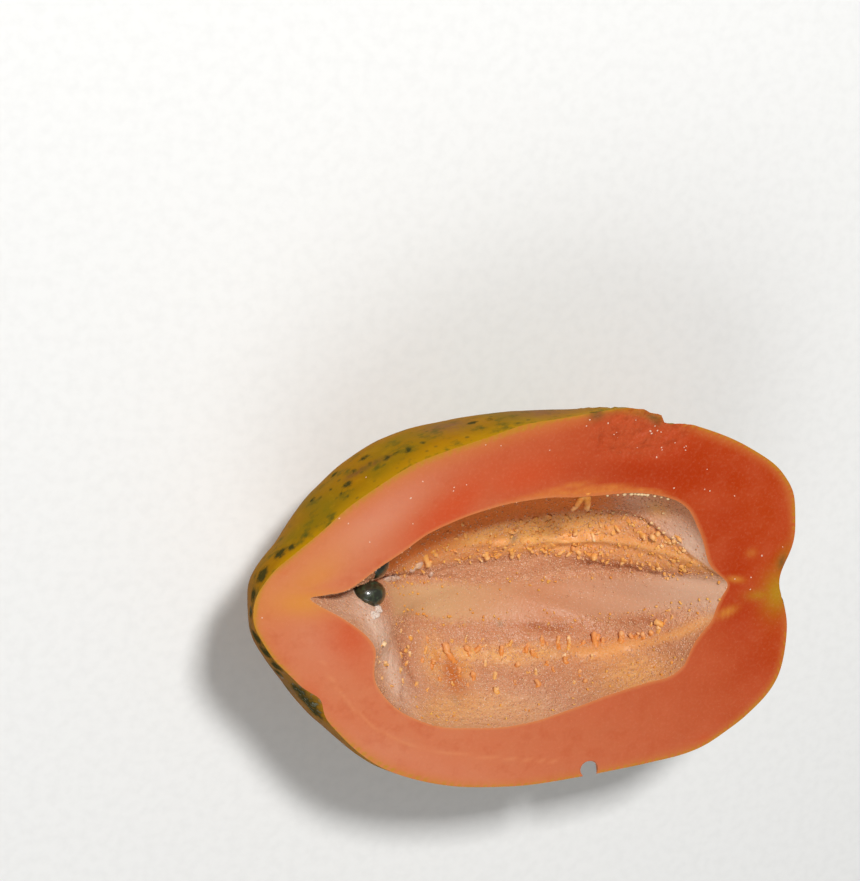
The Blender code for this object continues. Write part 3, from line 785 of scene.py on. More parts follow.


# The lining of the cavity: a soft, wet, cottony layer of pale cells, pinkish beige and grainy, orange
# where the seeds were fixed and smooth and tan along the middle. Pale flecks on its wet cells are painted
# glints; its creases, hollows, the far wall under the rim and the floor beside the seeds carry painted
# shade, and the upper seed band is painted lighter where it lies in half shade.
def lining_material():
    material, tree, surface = new_material("wet_cottony_cavity_lining")
    place = add(tree, "ShaderNodeTexCoord").outputs["Object"]
    cloud = add(
        tree,
        "ShaderNodeTexNoise",
        {"Vector": place, "Scale": 1 / (3.6 * MM), "Detail": 4.0, "Roughness": 0.65},
    ).outputs["Fac"]
    grain = add(tree, "ShaderNodeTexNoise", {"Vector": place, "Scale": 1 / (0.5 * MM)}).outputs["Fac"]
    lumps = add(
        tree, "ShaderNodeTexNoise", {"Vector": place, "Scale": 1 / (1.0 * MM), "Detail": 1.0}
    ).outputs["Fac"]
    cells = add(tree, "ShaderNodeTexVoronoi", {"Vector": place, "Scale": 1.1 / MM}).outputs["Distance"]
    swollen = add(
        tree, "ShaderNodeMapRange", {0: area(tree, "lumpy"), 1: 0.0, 2: 1.0, 3: 0.15, 4: 1.0}
    ).outputs[0]
    cells = add(tree, "ShaderNodeMath", {0: cells, 1: swollen}, operation="MULTIPLY").outputs[0]
    # Painted glints: pale flecks that stand in for highlights on the wet cells, fewest on the smooth middle
    # and faded out on the shaded far wall
    painted_glint = add(
        tree, "ShaderNodeTexNoise", {"Vector": place, "Scale": 1 / (0.32 * MM), "Detail": 0.0}
    ).outputs["Fac"]
    painted_glint = add(tree, "ShaderNodeMapRange", {0: painted_glint, 1: 0.72, 2: 0.78, 3: 0.0, 4: 0.7}).outputs[0]
    glint_spread = add(
        tree, "ShaderNodeMapRange", {0: area(tree, "lumpy"), 1: 0.0, 2: 1.0, 3: 0.4, 4: 1.0}
    ).outputs[0]
    painted_glint = add(tree, "ShaderNodeMath", {0: painted_glint, 1: glint_spread}, operation="MULTIPLY").outputs[0]
    lit = add(
        tree, "ShaderNodeMapRange", {0: area(tree, "shaded_far_wall"), 1: 0.0, 2: 1.0, 3: 1.0, 4: 0.1}
    ).outputs[0]
    painted_glint = add(tree, "ShaderNodeMath", {0: painted_glint, 1: lit}, operation="MULTIPLY").outputs[0]
    dots = add(
        tree, "ShaderNodeTexNoise", {"Vector": place, "Scale": 1 / (0.7 * MM), "Detail": 0.0}
    ).outputs["Fac"]
    dots = add(tree, "ShaderNodeMapRange", {0: dots, 1: 0.62, 2: 0.7, 3: 0.0, 4: 0.85}).outputs[0]
    patchy_crease_shade = add(tree, "ShaderNodeMapRange", {0: cloud, 1: 0.35, 2: 0.55, 3: 0.0, 4: 0.75}).outputs[0]
    length = add(tree, "ShaderNodeSeparateXYZ", {0: place}).outputs["X"]
    band_tints = (
        (length, -16 * MM, 12 * MM, 0.0, 1.0, "C48862"),
        (length, 18 * MM, 45 * MM, 0.0, 1.0, "CCA082"),
    )
    band = layered(tree, linear("D0A678"), band_tints)
    colour = layered(
        tree,
        linear("C88E69"),
        (
            (cloud, 0.42, 0.66, 0.0, 0.6, "BC7850"),
            (area(tree, "orange", 0.85), "E29652"),
            (area(tree, "rope", 0.85), "E2A05E"),
            (grain, 0.46, 0.32, 0.0, 0.35, "B06E48"),
            (grain, 0.54, 0.68, 0.0, 0.55, "DCB290"),
            (area(tree, "whitish", 0.85), "E4C2AA"),
            # Yellow tissue, lighter on the upper band as painted light
            (area(tree, "yellow_and_painted_light", 0.85), "EEB468"),
            (area(tree, "stubbly", dots), "DC9E46"),
            # Painted shade in the lining's hollows
            (area(tree, "ruddy_shade"), "AE6238"),
            (area(tree, "smooth", 0.85), band),
            # Deep orange on the far wall, partly its own colour and partly painted shade under the rim
            (area(tree, "shaded_far_wall", 0.85), "D27026"),
            # Amber spots, and painted shade beside the seeds
            (area(tree, "amber_and_seed_shade"), "BE6A2C"),
            (area(tree, "grey", 0.75), "9A7F62"),
            # Painted shade in the creases, broken into patches
            (area(tree, "crease", patchy_crease_shade), "98532C"),
            # Painted glints
            (painted_glint, "F2DCCB"),
        ),
    )
    half_grain = add(tree, "ShaderNodeMath", {0: grain, 1: 0.5}, operation="MULTIPLY").outputs[0]
    fine = add(tree, "ShaderNodeMath", {0: half_grain, 1: cells}, operation="SUBTRACT").outputs[0]
    rough_lumps = add(tree, "ShaderNodeMath", {0: lumps, 1: 0.8}, operation="MULTIPLY").outputs[0]
    rough_lumps = add(
        tree, "ShaderNodeMath", {0: rough_lumps, 1: area(tree, "lumpy")}, operation="MULTIPLY"
    ).outputs[0]
    height = add(tree, "ShaderNodeMath", {0: fine, 1: rough_lumps}, operation="ADD").outputs[0]
    bump = add(tree, "ShaderNodeBump", {"Height": height, "Strength": 0.5, "Distance": 0.3 * MM})
    tree.links.new(colour, surface.inputs["Base Color"])
    tree.links.new(bump.outputs[0], surface.inputs["Normal"])
    surface.inputs["Roughness"].default_value = 0.4
    surface.inputs["IOR"].default_value = 1.38
    surface.inputs["Specular IOR Level"].default_value = 0.4
    surface.inputs["Subsurface Weight"].default_value = 0.12
    surface.inputs["Subsurface Radius"].default_value = (1.0, 0.45, 0.25)
    surface.inputs["Subsurface Scale"].default_value = 1.0 * MM
    return material


# The skin: thin, waxy and tough, ripened from green to mustard yellow, with an orange blush and dark
# green spots, and a grey brown crust where it rubbed near the pointed end.
def skin_material():
    material, tree, surface = new_material("waxy_ripe_papaya_skin")
    place = add(tree, "ShaderNodeTexCoord").outputs["Object"]
    turned = add(tree, "ShaderNodeUVMap", uv_map="place").outputs[0]
    across = add(tree, "ShaderNodeSeparateXYZ", {0: turned}).outputs["Y"]
    cloud = add(
        tree, "ShaderNodeTexNoise", {"Vector": place, "Scale": 1 / (36 * MM), "Detail": 3.0}
    ).outputs["Fac"]
    mottles = add(
        tree,
        "ShaderNodeTexNoise",
        {"Vector": place, "Scale": 1 / (5 * MM), "Detail": 4.0, "Roughness": 0.65},
    ).outputs["Fac"]
    flaky = add(
        tree,
        "ShaderNodeTexNoise",
        {"Vector": place, "Scale": 1 / (1.6 * MM), "Detail": 4.0, "Roughness": 0.7},
    ).outputs["Fac"]
    pores = add(tree, "ShaderNodeTexVoronoi", {"Vector": place, "Scale": 0.21 / MM}).outputs["Distance"]
    stained = add(
        tree, "ShaderNodeMath", {0: area(tree, "skin_dark"), 1: flaky}, operation="MULTIPLY"
    ).outputs[0]
    rusty = add(tree, "ShaderNodeMapRange", {0: flaky, 1: 0.35, 2: 0.6, 3: 0.4, 4: 0.9}).outputs[0]
    scarred = add(tree, "ShaderNodeMapRange", {0: flaky, 1: 0.35, 2: 0.55, 3: 0.4, 4: 0.95}).outputs[0]
    greyed = add(tree, "ShaderNodeMapRange", {0: flaky, 1: 0.56, 2: 0.64, 3: 0.0, 4: 0.8}).outputs[0]
    colour = layered(
        tree,
        linear("A26E04"),
        (
            (cloud, 0.5, 0.64, 0.0, 0.7, "6C6810"),
            (cloud, 0.46, 0.34, 0.0, 0.6, "A66214"),
            (mottles, 0.44, 0.3, 0.0, 0.5, "AA7C0A"),
            (across, 2.0, 2.035, 0.7, 0.0, "B4840A"),
            (across, 2.97, 3.0, 0.0, 0.7, "A8760A"),
            (area(tree, "skin_rust", rusty), "80563A"),
            (area(tree, "skin_scar", scarred), "7C4E26"),
            (mottles, 0.54, 0.72, 0.0, 0.85, "4C5018"),
            (stained, 0.2, 0.4, 0.0, 0.9, "30361A"),
            (area(tree, "flaked", greyed), "8A8A78"),
            (pores, 0.16, 0.08, 0.0, 0.6, "4C4A1C"),
        ),
    )
    waxy = add(
        tree, "ShaderNodeTexNoise", {"Vector": place, "Scale": 1 / (1.1 * MM), "Detail": 3.0}
    ).outputs["Fac"]
    height = add(tree, "ShaderNodeMath", {0: waxy, 1: stained}, operation="SUBTRACT").outputs[0]
    bump = add(tree, "ShaderNodeBump", {"Height": height, "Strength": 0.35, "Distance": 0.2 * MM})
    tree.links.new(colour, surface.inputs["Base Color"])
    tree.links.new(bump.outputs[0], surface.inputs["Normal"])
    dull = add(tree, "ShaderNodeMapRange", {0: stained, 1: 0.2, 2: 0.4, 3: 0.5, 4: 0.75}).outputs[0]
    tree.links.new(dull, surface.inputs["Roughness"])
    surface.inputs["IOR"].default_value = 1.45
    surface.inputs["Specular IOR Level"].default_value = 0.01
    return material


for material in (lining_material(), flesh_material(), skin_material()):
    half_shape.materials.append(material)


# The lining's cottony lumps, the torn flesh and the slow dents of the skin are raised by one set of
# nodes, which pushes the surface in and out along its own direction.
def new_tree(name, inputs):
    """Geometry nodes with a geometry in and out and the named inputs, each with its kind."""
    tree = bpy.data.node_groups.new(name, "GeometryNodeTree")
    tree.interface.new_socket("Geometry", in_out="INPUT", socket_type="NodeSocketGeometry")
    tree.interface.new_socket("Geometry", in_out="OUTPUT", socket_type="NodeSocketGeometry")
    for label, kind in inputs:
        tree.interface.new_socket(label, in_out="INPUT", socket_type=kind)
    return tree, add(tree, "NodeGroupInput").outputs


# Each relief with the soft area that it fills and how detailed it is
RELIEFS = (("Lump", "lumpy", 1.0), ("Grain", "lumpy", 1.0), ("Tear", "torn", 3.0), ("Dent", "outside", 1.0))


def relief_tree():
    """Nodes that raise the fine relief of the half."""
    labels = [name + end for name, _, _ in RELIEFS for end in (" Size", " Height")]
    tree, entry = new_tree("fruit_relief", [(label, "NodeSocketFloat") for label in labels])
    place = add(tree, "GeometryNodeInputPosition").outputs[0]
    total = None
    for name, mask, detail in RELIEFS:
        scale = add(
            tree, "ShaderNodeMath", {0: 1.0, 1: entry[name + " Size"]}, operation="DIVIDE"
        ).outputs[0]
        sockets = {"Vector": place, "Scale": scale, "Detail": detail, "Roughness": 0.55}
        blobs = add(tree, "ShaderNodeTexNoise", sockets).outputs["Fac"]
        centred = add(tree, "ShaderNodeMath", {0: blobs, 1: 0.5}, operation="SUBTRACT").outputs[0]
        where = add(
            tree, "GeometryNodeInputNamedAttribute", {"Name": mask}, data_type="FLOAT"
        ).outputs["Attribute"]
        raised = add(
            tree, "ShaderNodeMath", {0: centred, 1: entry[name + " Height"]}, operation="MULTIPLY"
        ).outputs[0]
        raised = add(tree, "ShaderNodeMath", {0: raised, 1: where}, operation="MULTIPLY").outputs[0]
        total = raised if total is None else add(tree, "ShaderNodeMath", {0: total, 1: raised}).outputs[0]
    facing = add(tree, "GeometryNodeInputNormal").outputs[0]
    offset = add(tree, "ShaderNodeVectorMath", {0: facing, "Scale": total}, operation="SCALE").outputs[0]
    moved = add(
        tree, "GeometryNodeSetPosition", {"Geometry": entry["Geometry"], "Offset": offset}
    ).outputs[0]
    add(tree, "NodeGroupOutput", {"Geometry": moved})
    return tree


def set_inputs(modifier, values):
    """Sets a node modifier's named inputs by their identifiers."""
    for item in modifier.node_group.interface.items_tree:
        if item.in_out == "INPUT" and item.name in values:
            modifier[item.identifier] = values[item.name]


def place_object(name, mesh):
    """Links a mesh as an object at the origin."""
    item = bpy.data.objects.new(name, mesh)
    bpy.context.scene.collection.objects.link(item)
    return item


def plain_copy(item, name):
    """Turns an object with its modifiers into a plain mesh object and removes the first one."""
    bpy.context.view_layer.update()
    graph = bpy.context.evaluated_depsgraph_get()
    mesh = bpy.data.meshes.new_from_object(
        item.evaluated_get(graph), preserve_all_data_layers=True, depsgraph=graph
    )
    mesh.name = name
    bpy.data.objects.remove(item, do_unlink=True)
    return place_object(name, mesh)


rough_half = place_object("rough_half", half_shape)
relief = rough_half.modifiers.new("relief", "NODES")
relief.node_group = relief_tree()
set_inputs(
    relief,
    {
        "Lump Size": 2.2 * MM,
        "Lump Height": 0.75 * MM,
        "Grain Size": 0.8 * MM,
        "Grain Height": 0.05 * MM,
        "Tear Size": 3.0 * MM,
        "Tear Height": 2.8 * MM,
        "Dent Size": 14 * MM,
        "Dent Height": 0.9 * MM,
    },
)

# The nick in the near rim: a small round bite out of skin and flesh, as if a round tool had been pushed
# slantwise through the edge. It is cut out of the finished surface.
NICK_AT = Vector((20.2 * MM, -47.05 * MM, TOP))
NICK_RADIUS = 2.4 * MM
NICK_LENGTH = 11 * MM
NICK_LEAN = Vector((-0.371, 0.286, 0.884))
nick_shape = bmesh.new()
bmesh.ops.create_uvsphere(nick_shape, u_segments=32, v_segments=18, radius=NICK_RADIUS)
for vert in nick_shape.verts:
    vert.co.z += NICK_LENGTH / 2 if vert.co.z > 0 else -NICK_LENGTH / 2
nick_turn = NICK_LEAN.to_track_quat("Z", "Y").to_matrix().to_4x4()
nick_shape.transform(Matrix.Translation(NICK_AT - NICK_LEAN * NICK_LENGTH * 0.3) @ nick_turn)
nick_mesh = bpy.data.meshes.new("nick")
nick_shape.to_mesh(nick_mesh)
nick_shape.free()
nick_mesh.materials.append(half_shape.materials[FLESH])
nick = place_object("nick", nick_mesh)
cut = rough_half.modifiers.new("nick", "BOOLEAN")
cut.operation = "DIFFERENCE"
cut.solver = "EXACT"
cut.material_mode = "TRANSFER"
cut.object = nick
papaya_half = plain_copy(rough_half, "papaya_half_fine")
bpy.data.objects.remove(nick, do_unlink=True)
papaya_half.data.shade_smooth()
cut_edges = bmesh.new()
cut_edges.from_mesh(papaya_half.data)
for edge in cut_edges.edges:
    if len({face.material_index for face in edge.link_faces}) > 1:
        edge.smooth = False
cut_edges.to_mesh(papaya_half.data)
cut_edges.free()
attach(papaya_half, "root")
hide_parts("papaya_half")


# The two seeds left in the pointed end: black, ripe seeds with a wrinkled coat under a thin clear gel, held
# by the last bits of the seed stalks.
def smooth_noise(points, size, seed):
    """Cheap smooth noise between -1 and 1 from a few turned waves."""
    rng = np.random.default_rng(seed)
    total = np.zeros(len(points))
    for _ in range(7):
        wave = rng.normal(size=3)
        wave *= rng.uniform(0.7, 1.5) / size / np.linalg.norm(wave)
        total += np.sin(2 * math.pi * (points @ wave) + rng.uniform(0, 2 * math.pi))
    return total / 4


def ball(across, along):
    """Points and faces of a ball of radius 1 with closed poles."""
    points = [(0.0, 0.0, 1.0)]
    for j in range(1, along):
        polar = math.pi * j / along
        for i in range(across):
            turn = 2 * math.pi * i / across
            points.append((
                math.sin(polar) * math.cos(turn),
                math.sin(polar) * math.sin(turn),
                math.cos(polar),
            ))
    points.append((0.0, 0.0, -1.0))
    faces = [(0, 1 + i, 1 + (i + 1) % across) for i in range(across)]
    for j in range(along - 2):
        row = 1 + j * across
        for i in range(across):
            right = (i + 1) % across
            faces.append((row + i, row + across + i, row + across + right, row + right))
    row = 1 + (along - 2) * across
    faces += [(row + i, len(points) - 1, row + (i + 1) % across) for i in range(across)]
    return np.array(points), faces


# Each seed's middle in millimetres, its turns, the seed of its wrinkles and its share of the full size
SEED_HALF_AXES = np.array((4.5, 3.6, 3.5)) * MM
SEED_PLACES = {
    "seed_front": ((-41.4, 0.9, 42.6), (0.0, 0.20, 0.05), 5, 1.0),
    "seed_back": ((-39.4, 7.5, 39.4), (0.3, -0.35, 1.15), 9, 0.97),
}


def seed_material():
    material, tree, surface = new_material("black_seed_coat_under_gel")
    place = add(tree, "ShaderNodeTexCoord").outputs["Object"]
    wrinkles = add(
        tree,
        "ShaderNodeTexNoise",
        {"Vector": place, "Scale": 1 / (1.1 * MM), "Detail": 3.0, "Roughness": 0.6},
    ).outputs["Fac"]
    brownish = add(tree, "ShaderNodeTexNoise", {"Vector": place, "Scale": 1 / (3 * MM)}).outputs["Fac"]
    tints = ((wrinkles, 0.45, 0.7, 0.0, 1.0, "3C4A32"), (brownish, 0.55, 0.7, 0.0, 0.5, "3A3216"))
    tint = layered(tree, linear("24261A"), tints)
    bump = add(tree, "ShaderNodeBump", {"Height": wrinkles, "Strength": 0.35, "Distance": 0.3 * MM})
    tree.links.new(tint, surface.inputs["Base Color"])
    tree.links.new(bump.outputs[0], surface.inputs["Normal"])
    surface.inputs["Roughness"].default_value = 0.3
    surface.inputs["Coat Weight"].default_value = 1.0
    surface.inputs["Coat Roughness"].default_value = 0.05
    return material


seed_finish = seed_material()
for node, (middle, turns, seed, share) in SEED_PLACES.items():
    points, faces = ball(72, 48)
    ridges = np.sin(9 * np.arctan2(points[:, 2], points[:, 1]) + 2.5 * smooth_noise(points, 1.4, seed))
    swell = 0.99 + 0.012 * smooth_noise(points, 0.9, seed + 1) + 0.006 * ridges * (1 - points[:, 0] ** 2)
    placed = points * swell[:, None] * SEED_HALF_AXES * share
    placed = placed @ np.array(Euler(turns).to_matrix()).T + np.array(middle) * MM
    mesh = bpy.data.meshes.new(node + "_fine")
    mesh.from_pydata(placed.tolist(), [], faces)
    mesh.materials.append(seed_finish)
    mesh.shade_smooth()
    seed_piece = place_object(node + "_fine", mesh)
    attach(seed_piece, "root")
    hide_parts(node)

# What is left of the seeds' stalks: soft, wet, club-shaped bits of orange and yellow tissue that stand
# along both swollen bands where the seeds were pulled off. Each lies where the real one does.
def surface_finder(item):
    """Gives the point and direction of an object's surface straight below a place."""
    mesh = item.data
    tree = BVHTree.FromPolygons([v.co for v in mesh.vertices], [p.vertices for p in mesh.polygons])

    def find(x, y):
        spot, facing, _, _ = tree.ray_cast(Vector((x, y, 0.2)), Vector((0, 0, -1)))
        return np.array(spot), np.array(facing)

    return find


on_surface = surface_finder(papaya_half)


def swept(path, radii, sides):
    """Points and faces of a closed soft tube along a path."""
    path = np.asarray(path, float)
    tangents = np.gradient(path, axis=0)
    points = []
    side = np.cross(tangents[0], (0.31, 0.22, 0.9))
    for middle, tangent, radius in zip(path, tangents, radii):
        tangent = tangent / np.linalg.norm(tangent)
        side = side - tangent * (side @ tangent)
        side /= np.linalg.norm(side)
        other = np.cross(tangent, side)
        for k in range(sides):
            turn = 2 * math.pi * k / sides
            points.append(middle + radius * (math.cos(turn) * side + math.sin(turn) * other))
    faces = []
    for row in range(len(path) - 1):
        for k in range(sides):
            right = (k + 1) % sides
            faces.append((
                row * sides + k,
                row * sides + right,
                (row + 1) * sides + right,
                (row + 1) * sides + k,
            ))
    for row, last in ((0, False), (len(path) - 1, True)):
        pole = len(points)
        ring = [row * sides + k for k in range(sides)]
        points.append((
            path[row]
            + (tangents[row] / np.linalg.norm(tangents[row])) * (0.5 if last else -0.5) * radii[row]
        ))
        for k in range(sides):
            a, b = ring[k], ring[(k + 1) % sides]
            faces.append((a, b, pole) if last else (b, a, pole))
    return np.array(points), faces


class Heap:
    """Collects many small closed shapes into one piece, with a tint and a tip share for each point."""

    def __init__(self):
        self.points = []
        self.faces = []
        self.tints = []
        self.tips = []
        self.count = 0

    def add(self, points, faces, tint, tips):
        self.points.append(points)
        self.faces += [tuple(index + self.count for index in face) for face in faces]
        self.tints += [tint] * len(points)
        self.tips += list(tips)
        self.count += len(points)

    def piece(self, name, material):
        mesh = bpy.data.meshes.new(name)
        mesh.from_pydata(np.concatenate(self.points).tolist(), [], self.faces)
        for label, values in (("tint", self.tints), ("tip", self.tips)):
            mesh.attributes.new(label, "FLOAT", "POINT").data.foreach_set(
                "value", np.array(values, np.float32)
            )
        mesh.materials.append(material)
        mesh.shade_smooth()
        item = place_object(name, mesh)
        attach(item, "root")


def add_stalk(heap, base, tip, width, height, tint, pale, rng):
    """A club-shaped bit of tissue from its root in the lining to its free end."""
    (root, facing), (end, _) = on_surface(*base), on_surface(*tip)
    end = end + facing * height
    sag = facing * height * rng.uniform(0.1, 0.5) + rng.normal(size=3) * width * 0.15
    shares = 1 - (1 - np.linspace(0, 1, 12)) ** 1.35
    path = root - facing * width * 0.6 + np.outer(shares, end - root + facing * width * 0.6)
    path += np.outer(np.sin(shares * math.pi), sag)
    path += np.outer(
        np.sin(shares * rng.uniform(3, 7) + rng.uniform(0, 6)), rng.normal(size=3) * width * 0.14
    )
    club = rng.uniform(-0.25, 0.3)
    radii = width / 2 * (0.9 + 0.5 * hill(shares / 0.22) + club * np.sin(shares * math.pi * 0.5))
    radii *= 1 + 0.13 * np.sin(shares * rng.uniform(8, 16) + rng.uniform(0, 6))
    radii *= np.sqrt(np.clip(1 - (np.clip(shares - 0.72, 0, 1) / 0.29) ** 2, 0.04, 1))
    points, faces = swept(path, radii, 10)
    tips = np.append(np.repeat(shares**1.5, 10), (0.0, 1.0)) * pale
    swell = smooth_noise(points, 0.9 * width, int(rng.integers(1000)))
    points = points + 0.14 * width * swell[:, None] * rng.normal(size=3)
    heap.add(points, faces, tint, tips)
    row = rng.integers(2, 8)
    knob, knob_faces = ball(10, 8)
    knob = knob * radii[row] * rng.uniform(0.5, 0.85, 3) + path[row] + rng.normal(size=3) * width * 0.22
    heap.add(
        knob, knob_faces, tint + rng.uniform(-0.15, 0.15), np.full(len(knob), rng.uniform(0, 0.5) * pale)
    )


# Root and free end of each bit as seen from above, and its width, in millimetres, by colour
STALKS = {
    "yellow": (
        (4.1, 5.3, 5.0, 2.5, 0.9), (6.9, 3.0, 7.3, 1.6, 0.6), (8.6, 5.3, 10.5, 4.1, 0.7),
        (12.7, 4.7, 14.3, 4.3, 0.7), (14.1, 3.6, 14.4, 2.4, 0.5), (18.8, 4.8, 17.1, 3.9, 0.7),
        (21.0, 5.5, 19.5, 3.2, 0.7), (21.4, 5.1, 22.8, 4.2, 1.0), (18.9, 12.1, 20.5, 9.9, 1.0),
        (26.1, 11.8, 25.1, 11.1, 0.7), (25.2, 14.3, 26.1, 13.1, 0.5), (28.7, 14.1, 30.2, 13.0, 0.8),
        (32.8, 16.0, 31.9, 15.2, 0.6), (34.3, 13.5, 35.6, 11.9, 1.0), (36.6, 12.6, 36.9, 12.9, 1.7),
        (37.7, 14.0, 37.8, 13.4, 1.1), (38.8, 11.8, 39.5, 12.4, 1.0), (39.9, 12.7, 40.6, 12.4, 1.1),
        (41.0, 12.5, 40.6, 13.6, 0.9), (40.8, 15.0, 42.2, 13.8, 0.6), (42.2, 11.9, 43.2, 11.3, 1.0),
        (41.8, 11.0, 42.7, 10.6, 0.7), (29.2, 3.8, 29.5, 2.1, 0.6), (31.9, 5.1, 32.5, 3.0, 1.0),
        (34.9, 5.7, 35.4, 4.4, 0.7), (36.1, 5.0, 36.8, 3.9, 0.7), (37.3, 5.5, 37.7, 4.7, 0.6),
        (38.8, 5.3, 40.0, 3.9, 1.0), (40.2, 4.1, 40.6, 3.6, 0.6), (25.9, 4.5, 26.2, 3.8, 1.3),
        (27.1, 6.3, 27.4, 5.2, 0.8), (28.3, 3.4, 28.3, 2.9, 0.5), (41.5, 2.9, 41.9, 2.3, 0.6),
        (42.5, 2.7, 42.9, 2.4, 0.5), (43.4, 2.5, 43.9, 2.2, 0.4), (44.4, 1.9, 44.9, 1.5, 0.5),
        (42.3, 1.4, 42.8, 1.0, 0.5), (41.3, -13.1, 41.2, -12.1, 1.9), (42.0, -11.5, 40.7, -10.8, 1.0),
        (39.7, -12.3, 40.3, -11.6, 0.5), (43.9, -9.3, 44.4, -8.3, 0.7), (43.6, -7.6, 43.8, -7.0, 0.5),
        (-20.6, -20.7, -19.9, -19.1, 0.6), (-11.9, -19.3, -11.5, -18.7, 0.6),
        (-3.2, -19.8, -2.5, -19.0, 0.4), (4.5, -20.3, 5.2, -19.5, 0.9), (3.3, -20.8, 3.7, -20.3, 0.5),
        (-25.8, -25.7, -25.2, -25.2, 1.0), (-22.6, -27.2, -22.5, -26.8, 0.6), (6.9, -25.4, 7.8, -25.4, 0.6),
        (-40.9, -13.1, -41.4, -12.1, 0.5), (-38.2, -19.8, -38.2, -19.3, 0.9),
        (-26.2, -18.8, -26.8, -17.8, 0.9), (-28.9, -18.8, -29.2, -18.0, 0.9),
        (-27.7, -21.4, -26.9, -20.9, 0.6), (-22.1, -15.8, -21.6, -15.2, 0.6),
        (-28.2, -11.3, -28.0, -10.6, 0.5), (-21.5, 5.2, -19.9, 2.2, 1.3), (-19.5, 6.4, -17.9, 4.4, 1.2),
        (-11.8, 3.0, -10.6, 2.6, 0.6), (-3.0, 4.2, -2.3, 2.6, 1.5), (-0.2, 2.9, 0.2, 2.4, 0.6),
        (4.1, 5.3, 5.0, 2.5, 1.1), (7.0, 2.9, 7.4, 1.8, 0.6), (1.3, 11.8, 3.8, 11.8, 1.1),
        (-21.1, 0.3, -20.7, -0.3, 0.6), (-26.0, -0.2, -25.9, -1.3, 0.6), (-19.0, -2.9, -18.9, -3.5, 0.4),
        (-16.2, -2.6, -16.0, -3.2, 0.4), (-10.3, 2.1, -9.9, 1.4, 0.4), (-13.2, 14.7, -12.6, 14.1, 0.6),
        (-16.0, 7.6, -15.7, 7.1, 0.6),
    ),
    "orange": (
        (11.2, 3.6, 12.2, 2.9, 0.6), (20.3, 7.1, 21.1, 5.2, 0.8), (33.6, 5.1, 34.1, 4.0, 0.7),
        (24.2, 6.8, 24.5, 6.2, 0.6), (12.9, -19.7, 13.5, -18.4, 1.0), (16.8, -20.1, 17.5, -18.0, 0.9),
        (19.6, -19.8, 20.3, -17.8, 0.8), (23.4, -19.2, 23.7, -18.6, 0.9), (26.5, -19.1, 27.7, -17.4, 1.3),
        (28.6, -18.7, 29.5, -17.9, 1.1), (33.2, -18.0, 33.9, -15.8, 1.1), (35.6, -17.0, 35.8, -15.9, 1.0),
        (36.9, -16.4, 37.5, -15.1, 1.0), (38.2, -16.0, 38.5, -14.8, 1.0), (39.6, -14.8, 39.7, -13.8, 1.0),
        (42.3, -11.0, 43.0, -9.5, 0.6), (-19.3, -24.0, -18.3, -22.5, 1.0),
        (-21.8, -22.1, -21.5, -21.4, 1.2), (-19.2, -18.3, -18.8, -17.8, 0.9),
        (-12.1, -23.6, -14.1, -19.4, 1.2), (-11.8, -25.5, -11.6, -24.5, 1.0),
        (-7.6, -22.7, -7.9, -20.1, 1.3), (-5.4, -22.0, -3.6, -20.5, 1.1), (1.4, -22.7, 2.3, -20.5, 1.6),
        (4.8, -24.6, 5.1, -23.6, 1.4), (2.8, -27.8, 3.1, -27.1, 1.0), (7.9, -27.5, 8.3, -26.7, 1.0),
        (8.2, -21.8, 9.6, -20.1, 1.1), (9.9, -22.2, 10.2, -21.0, 1.5), (13.0, -20.0, 13.5, -18.2, 0.7),
        (14.2, -20.3, 14.3, -19.4, 0.7), (16.7, -20.4, 17.4, -18.1, 0.8), (17.6, -22.7, 17.8, -22.1, 1.1),
        (12.5, -23.8, 12.7, -23.1, 1.1), (13.8, -24.6, 14.0, -24.0, 0.7), (19.4, -24.7, 20.0, -23.6, 0.8),
        (20.3, -25.4, 20.6, -25.0, 0.9), (27.0, -18.7, 27.7, -17.5, 1.0), (-8.1, -26.9, -7.9, -25.9, 1.1),
        (-10.1, -28.0, -9.8, -27.3, 0.9), (-17.7, -26.3, -17.6, -25.7, 0.7),
        (22.9, -19.3, 23.8, -18.7, 0.9), (-13.9, 6.3, -12.0, 5.8, 1.0), (-17.0, 12.7, -16.5, 11.9, 0.6),
        (-11.0, 11.8, -10.6, 11.3, 0.8), (-9.1, 11.9, -8.5, 11.3, 0.6),
    ),
    "pale": (
        (18.3, 10.1, 19.5, 9.2, 0.4), (17.2, 15.2, 17.6, 14.3, 0.4), (15.0, 15.0, 16.0, 14.7, 0.4),
        (24.1, 11.1, 24.7, 9.2, 0.6), (39.1, 11.2, 38.6, 11.3, 0.6), (23.9, 3.0, 24.1, 2.3, 0.4),
        (-7.7, -19.6, -7.2, -18.1, 0.5), (-3.3, -20.9, -1.9, -20.5, 0.5), (19.1, -20.4, 20.3, -17.9, 0.8),
        (17.7, -22.3, 18.0, -21.4, 1.0), (8.9, -25.7, 9.3, -24.7, 0.8), (-39.2, -15.7, -38.9, -15.2, 0.6),
        (-39.6, -9.9, -39.4, -9.1, 1.0), (-25.0, -16.4, -24.8, -15.6, 1.0),
        (-25.6, -19.9, -25.7, -19.0, 0.8), (-31.1, -23.8, -30.9, -23.5, 0.4), (-4.5, 2.5, -3.2, 1.7, 0.5),
        (-6.9, 1.6, -6.5, 1.0, 0.4),
    ),
    "olive": (
        (-3.5, -24.9, -3.4, -23.9, 1.0), (-2.1, -26.8, -1.8, -25.9, 1.1), (-2.8, -29.1, -2.3, -28.5, 1.0),
        (17.0, -26.1, 17.5, -25.6, 0.7), (24.2, -21.4, 24.4, -20.8, 1.0), (-14.5, -27.4, -14.2, -26.7, 0.5),
        (-36.7, -17.2, -36.7, -16.6, 0.9), (-30.5, -21.5, -30.5, -20.7, 1.0),
        (-30.5, -23.4, -30.3, -22.7, 0.5), (-28.7, -13.5, -28.3, -13.1, 0.6), (-4.2, 11.5, -3.6, 10.8, 0.6),
    ),
}


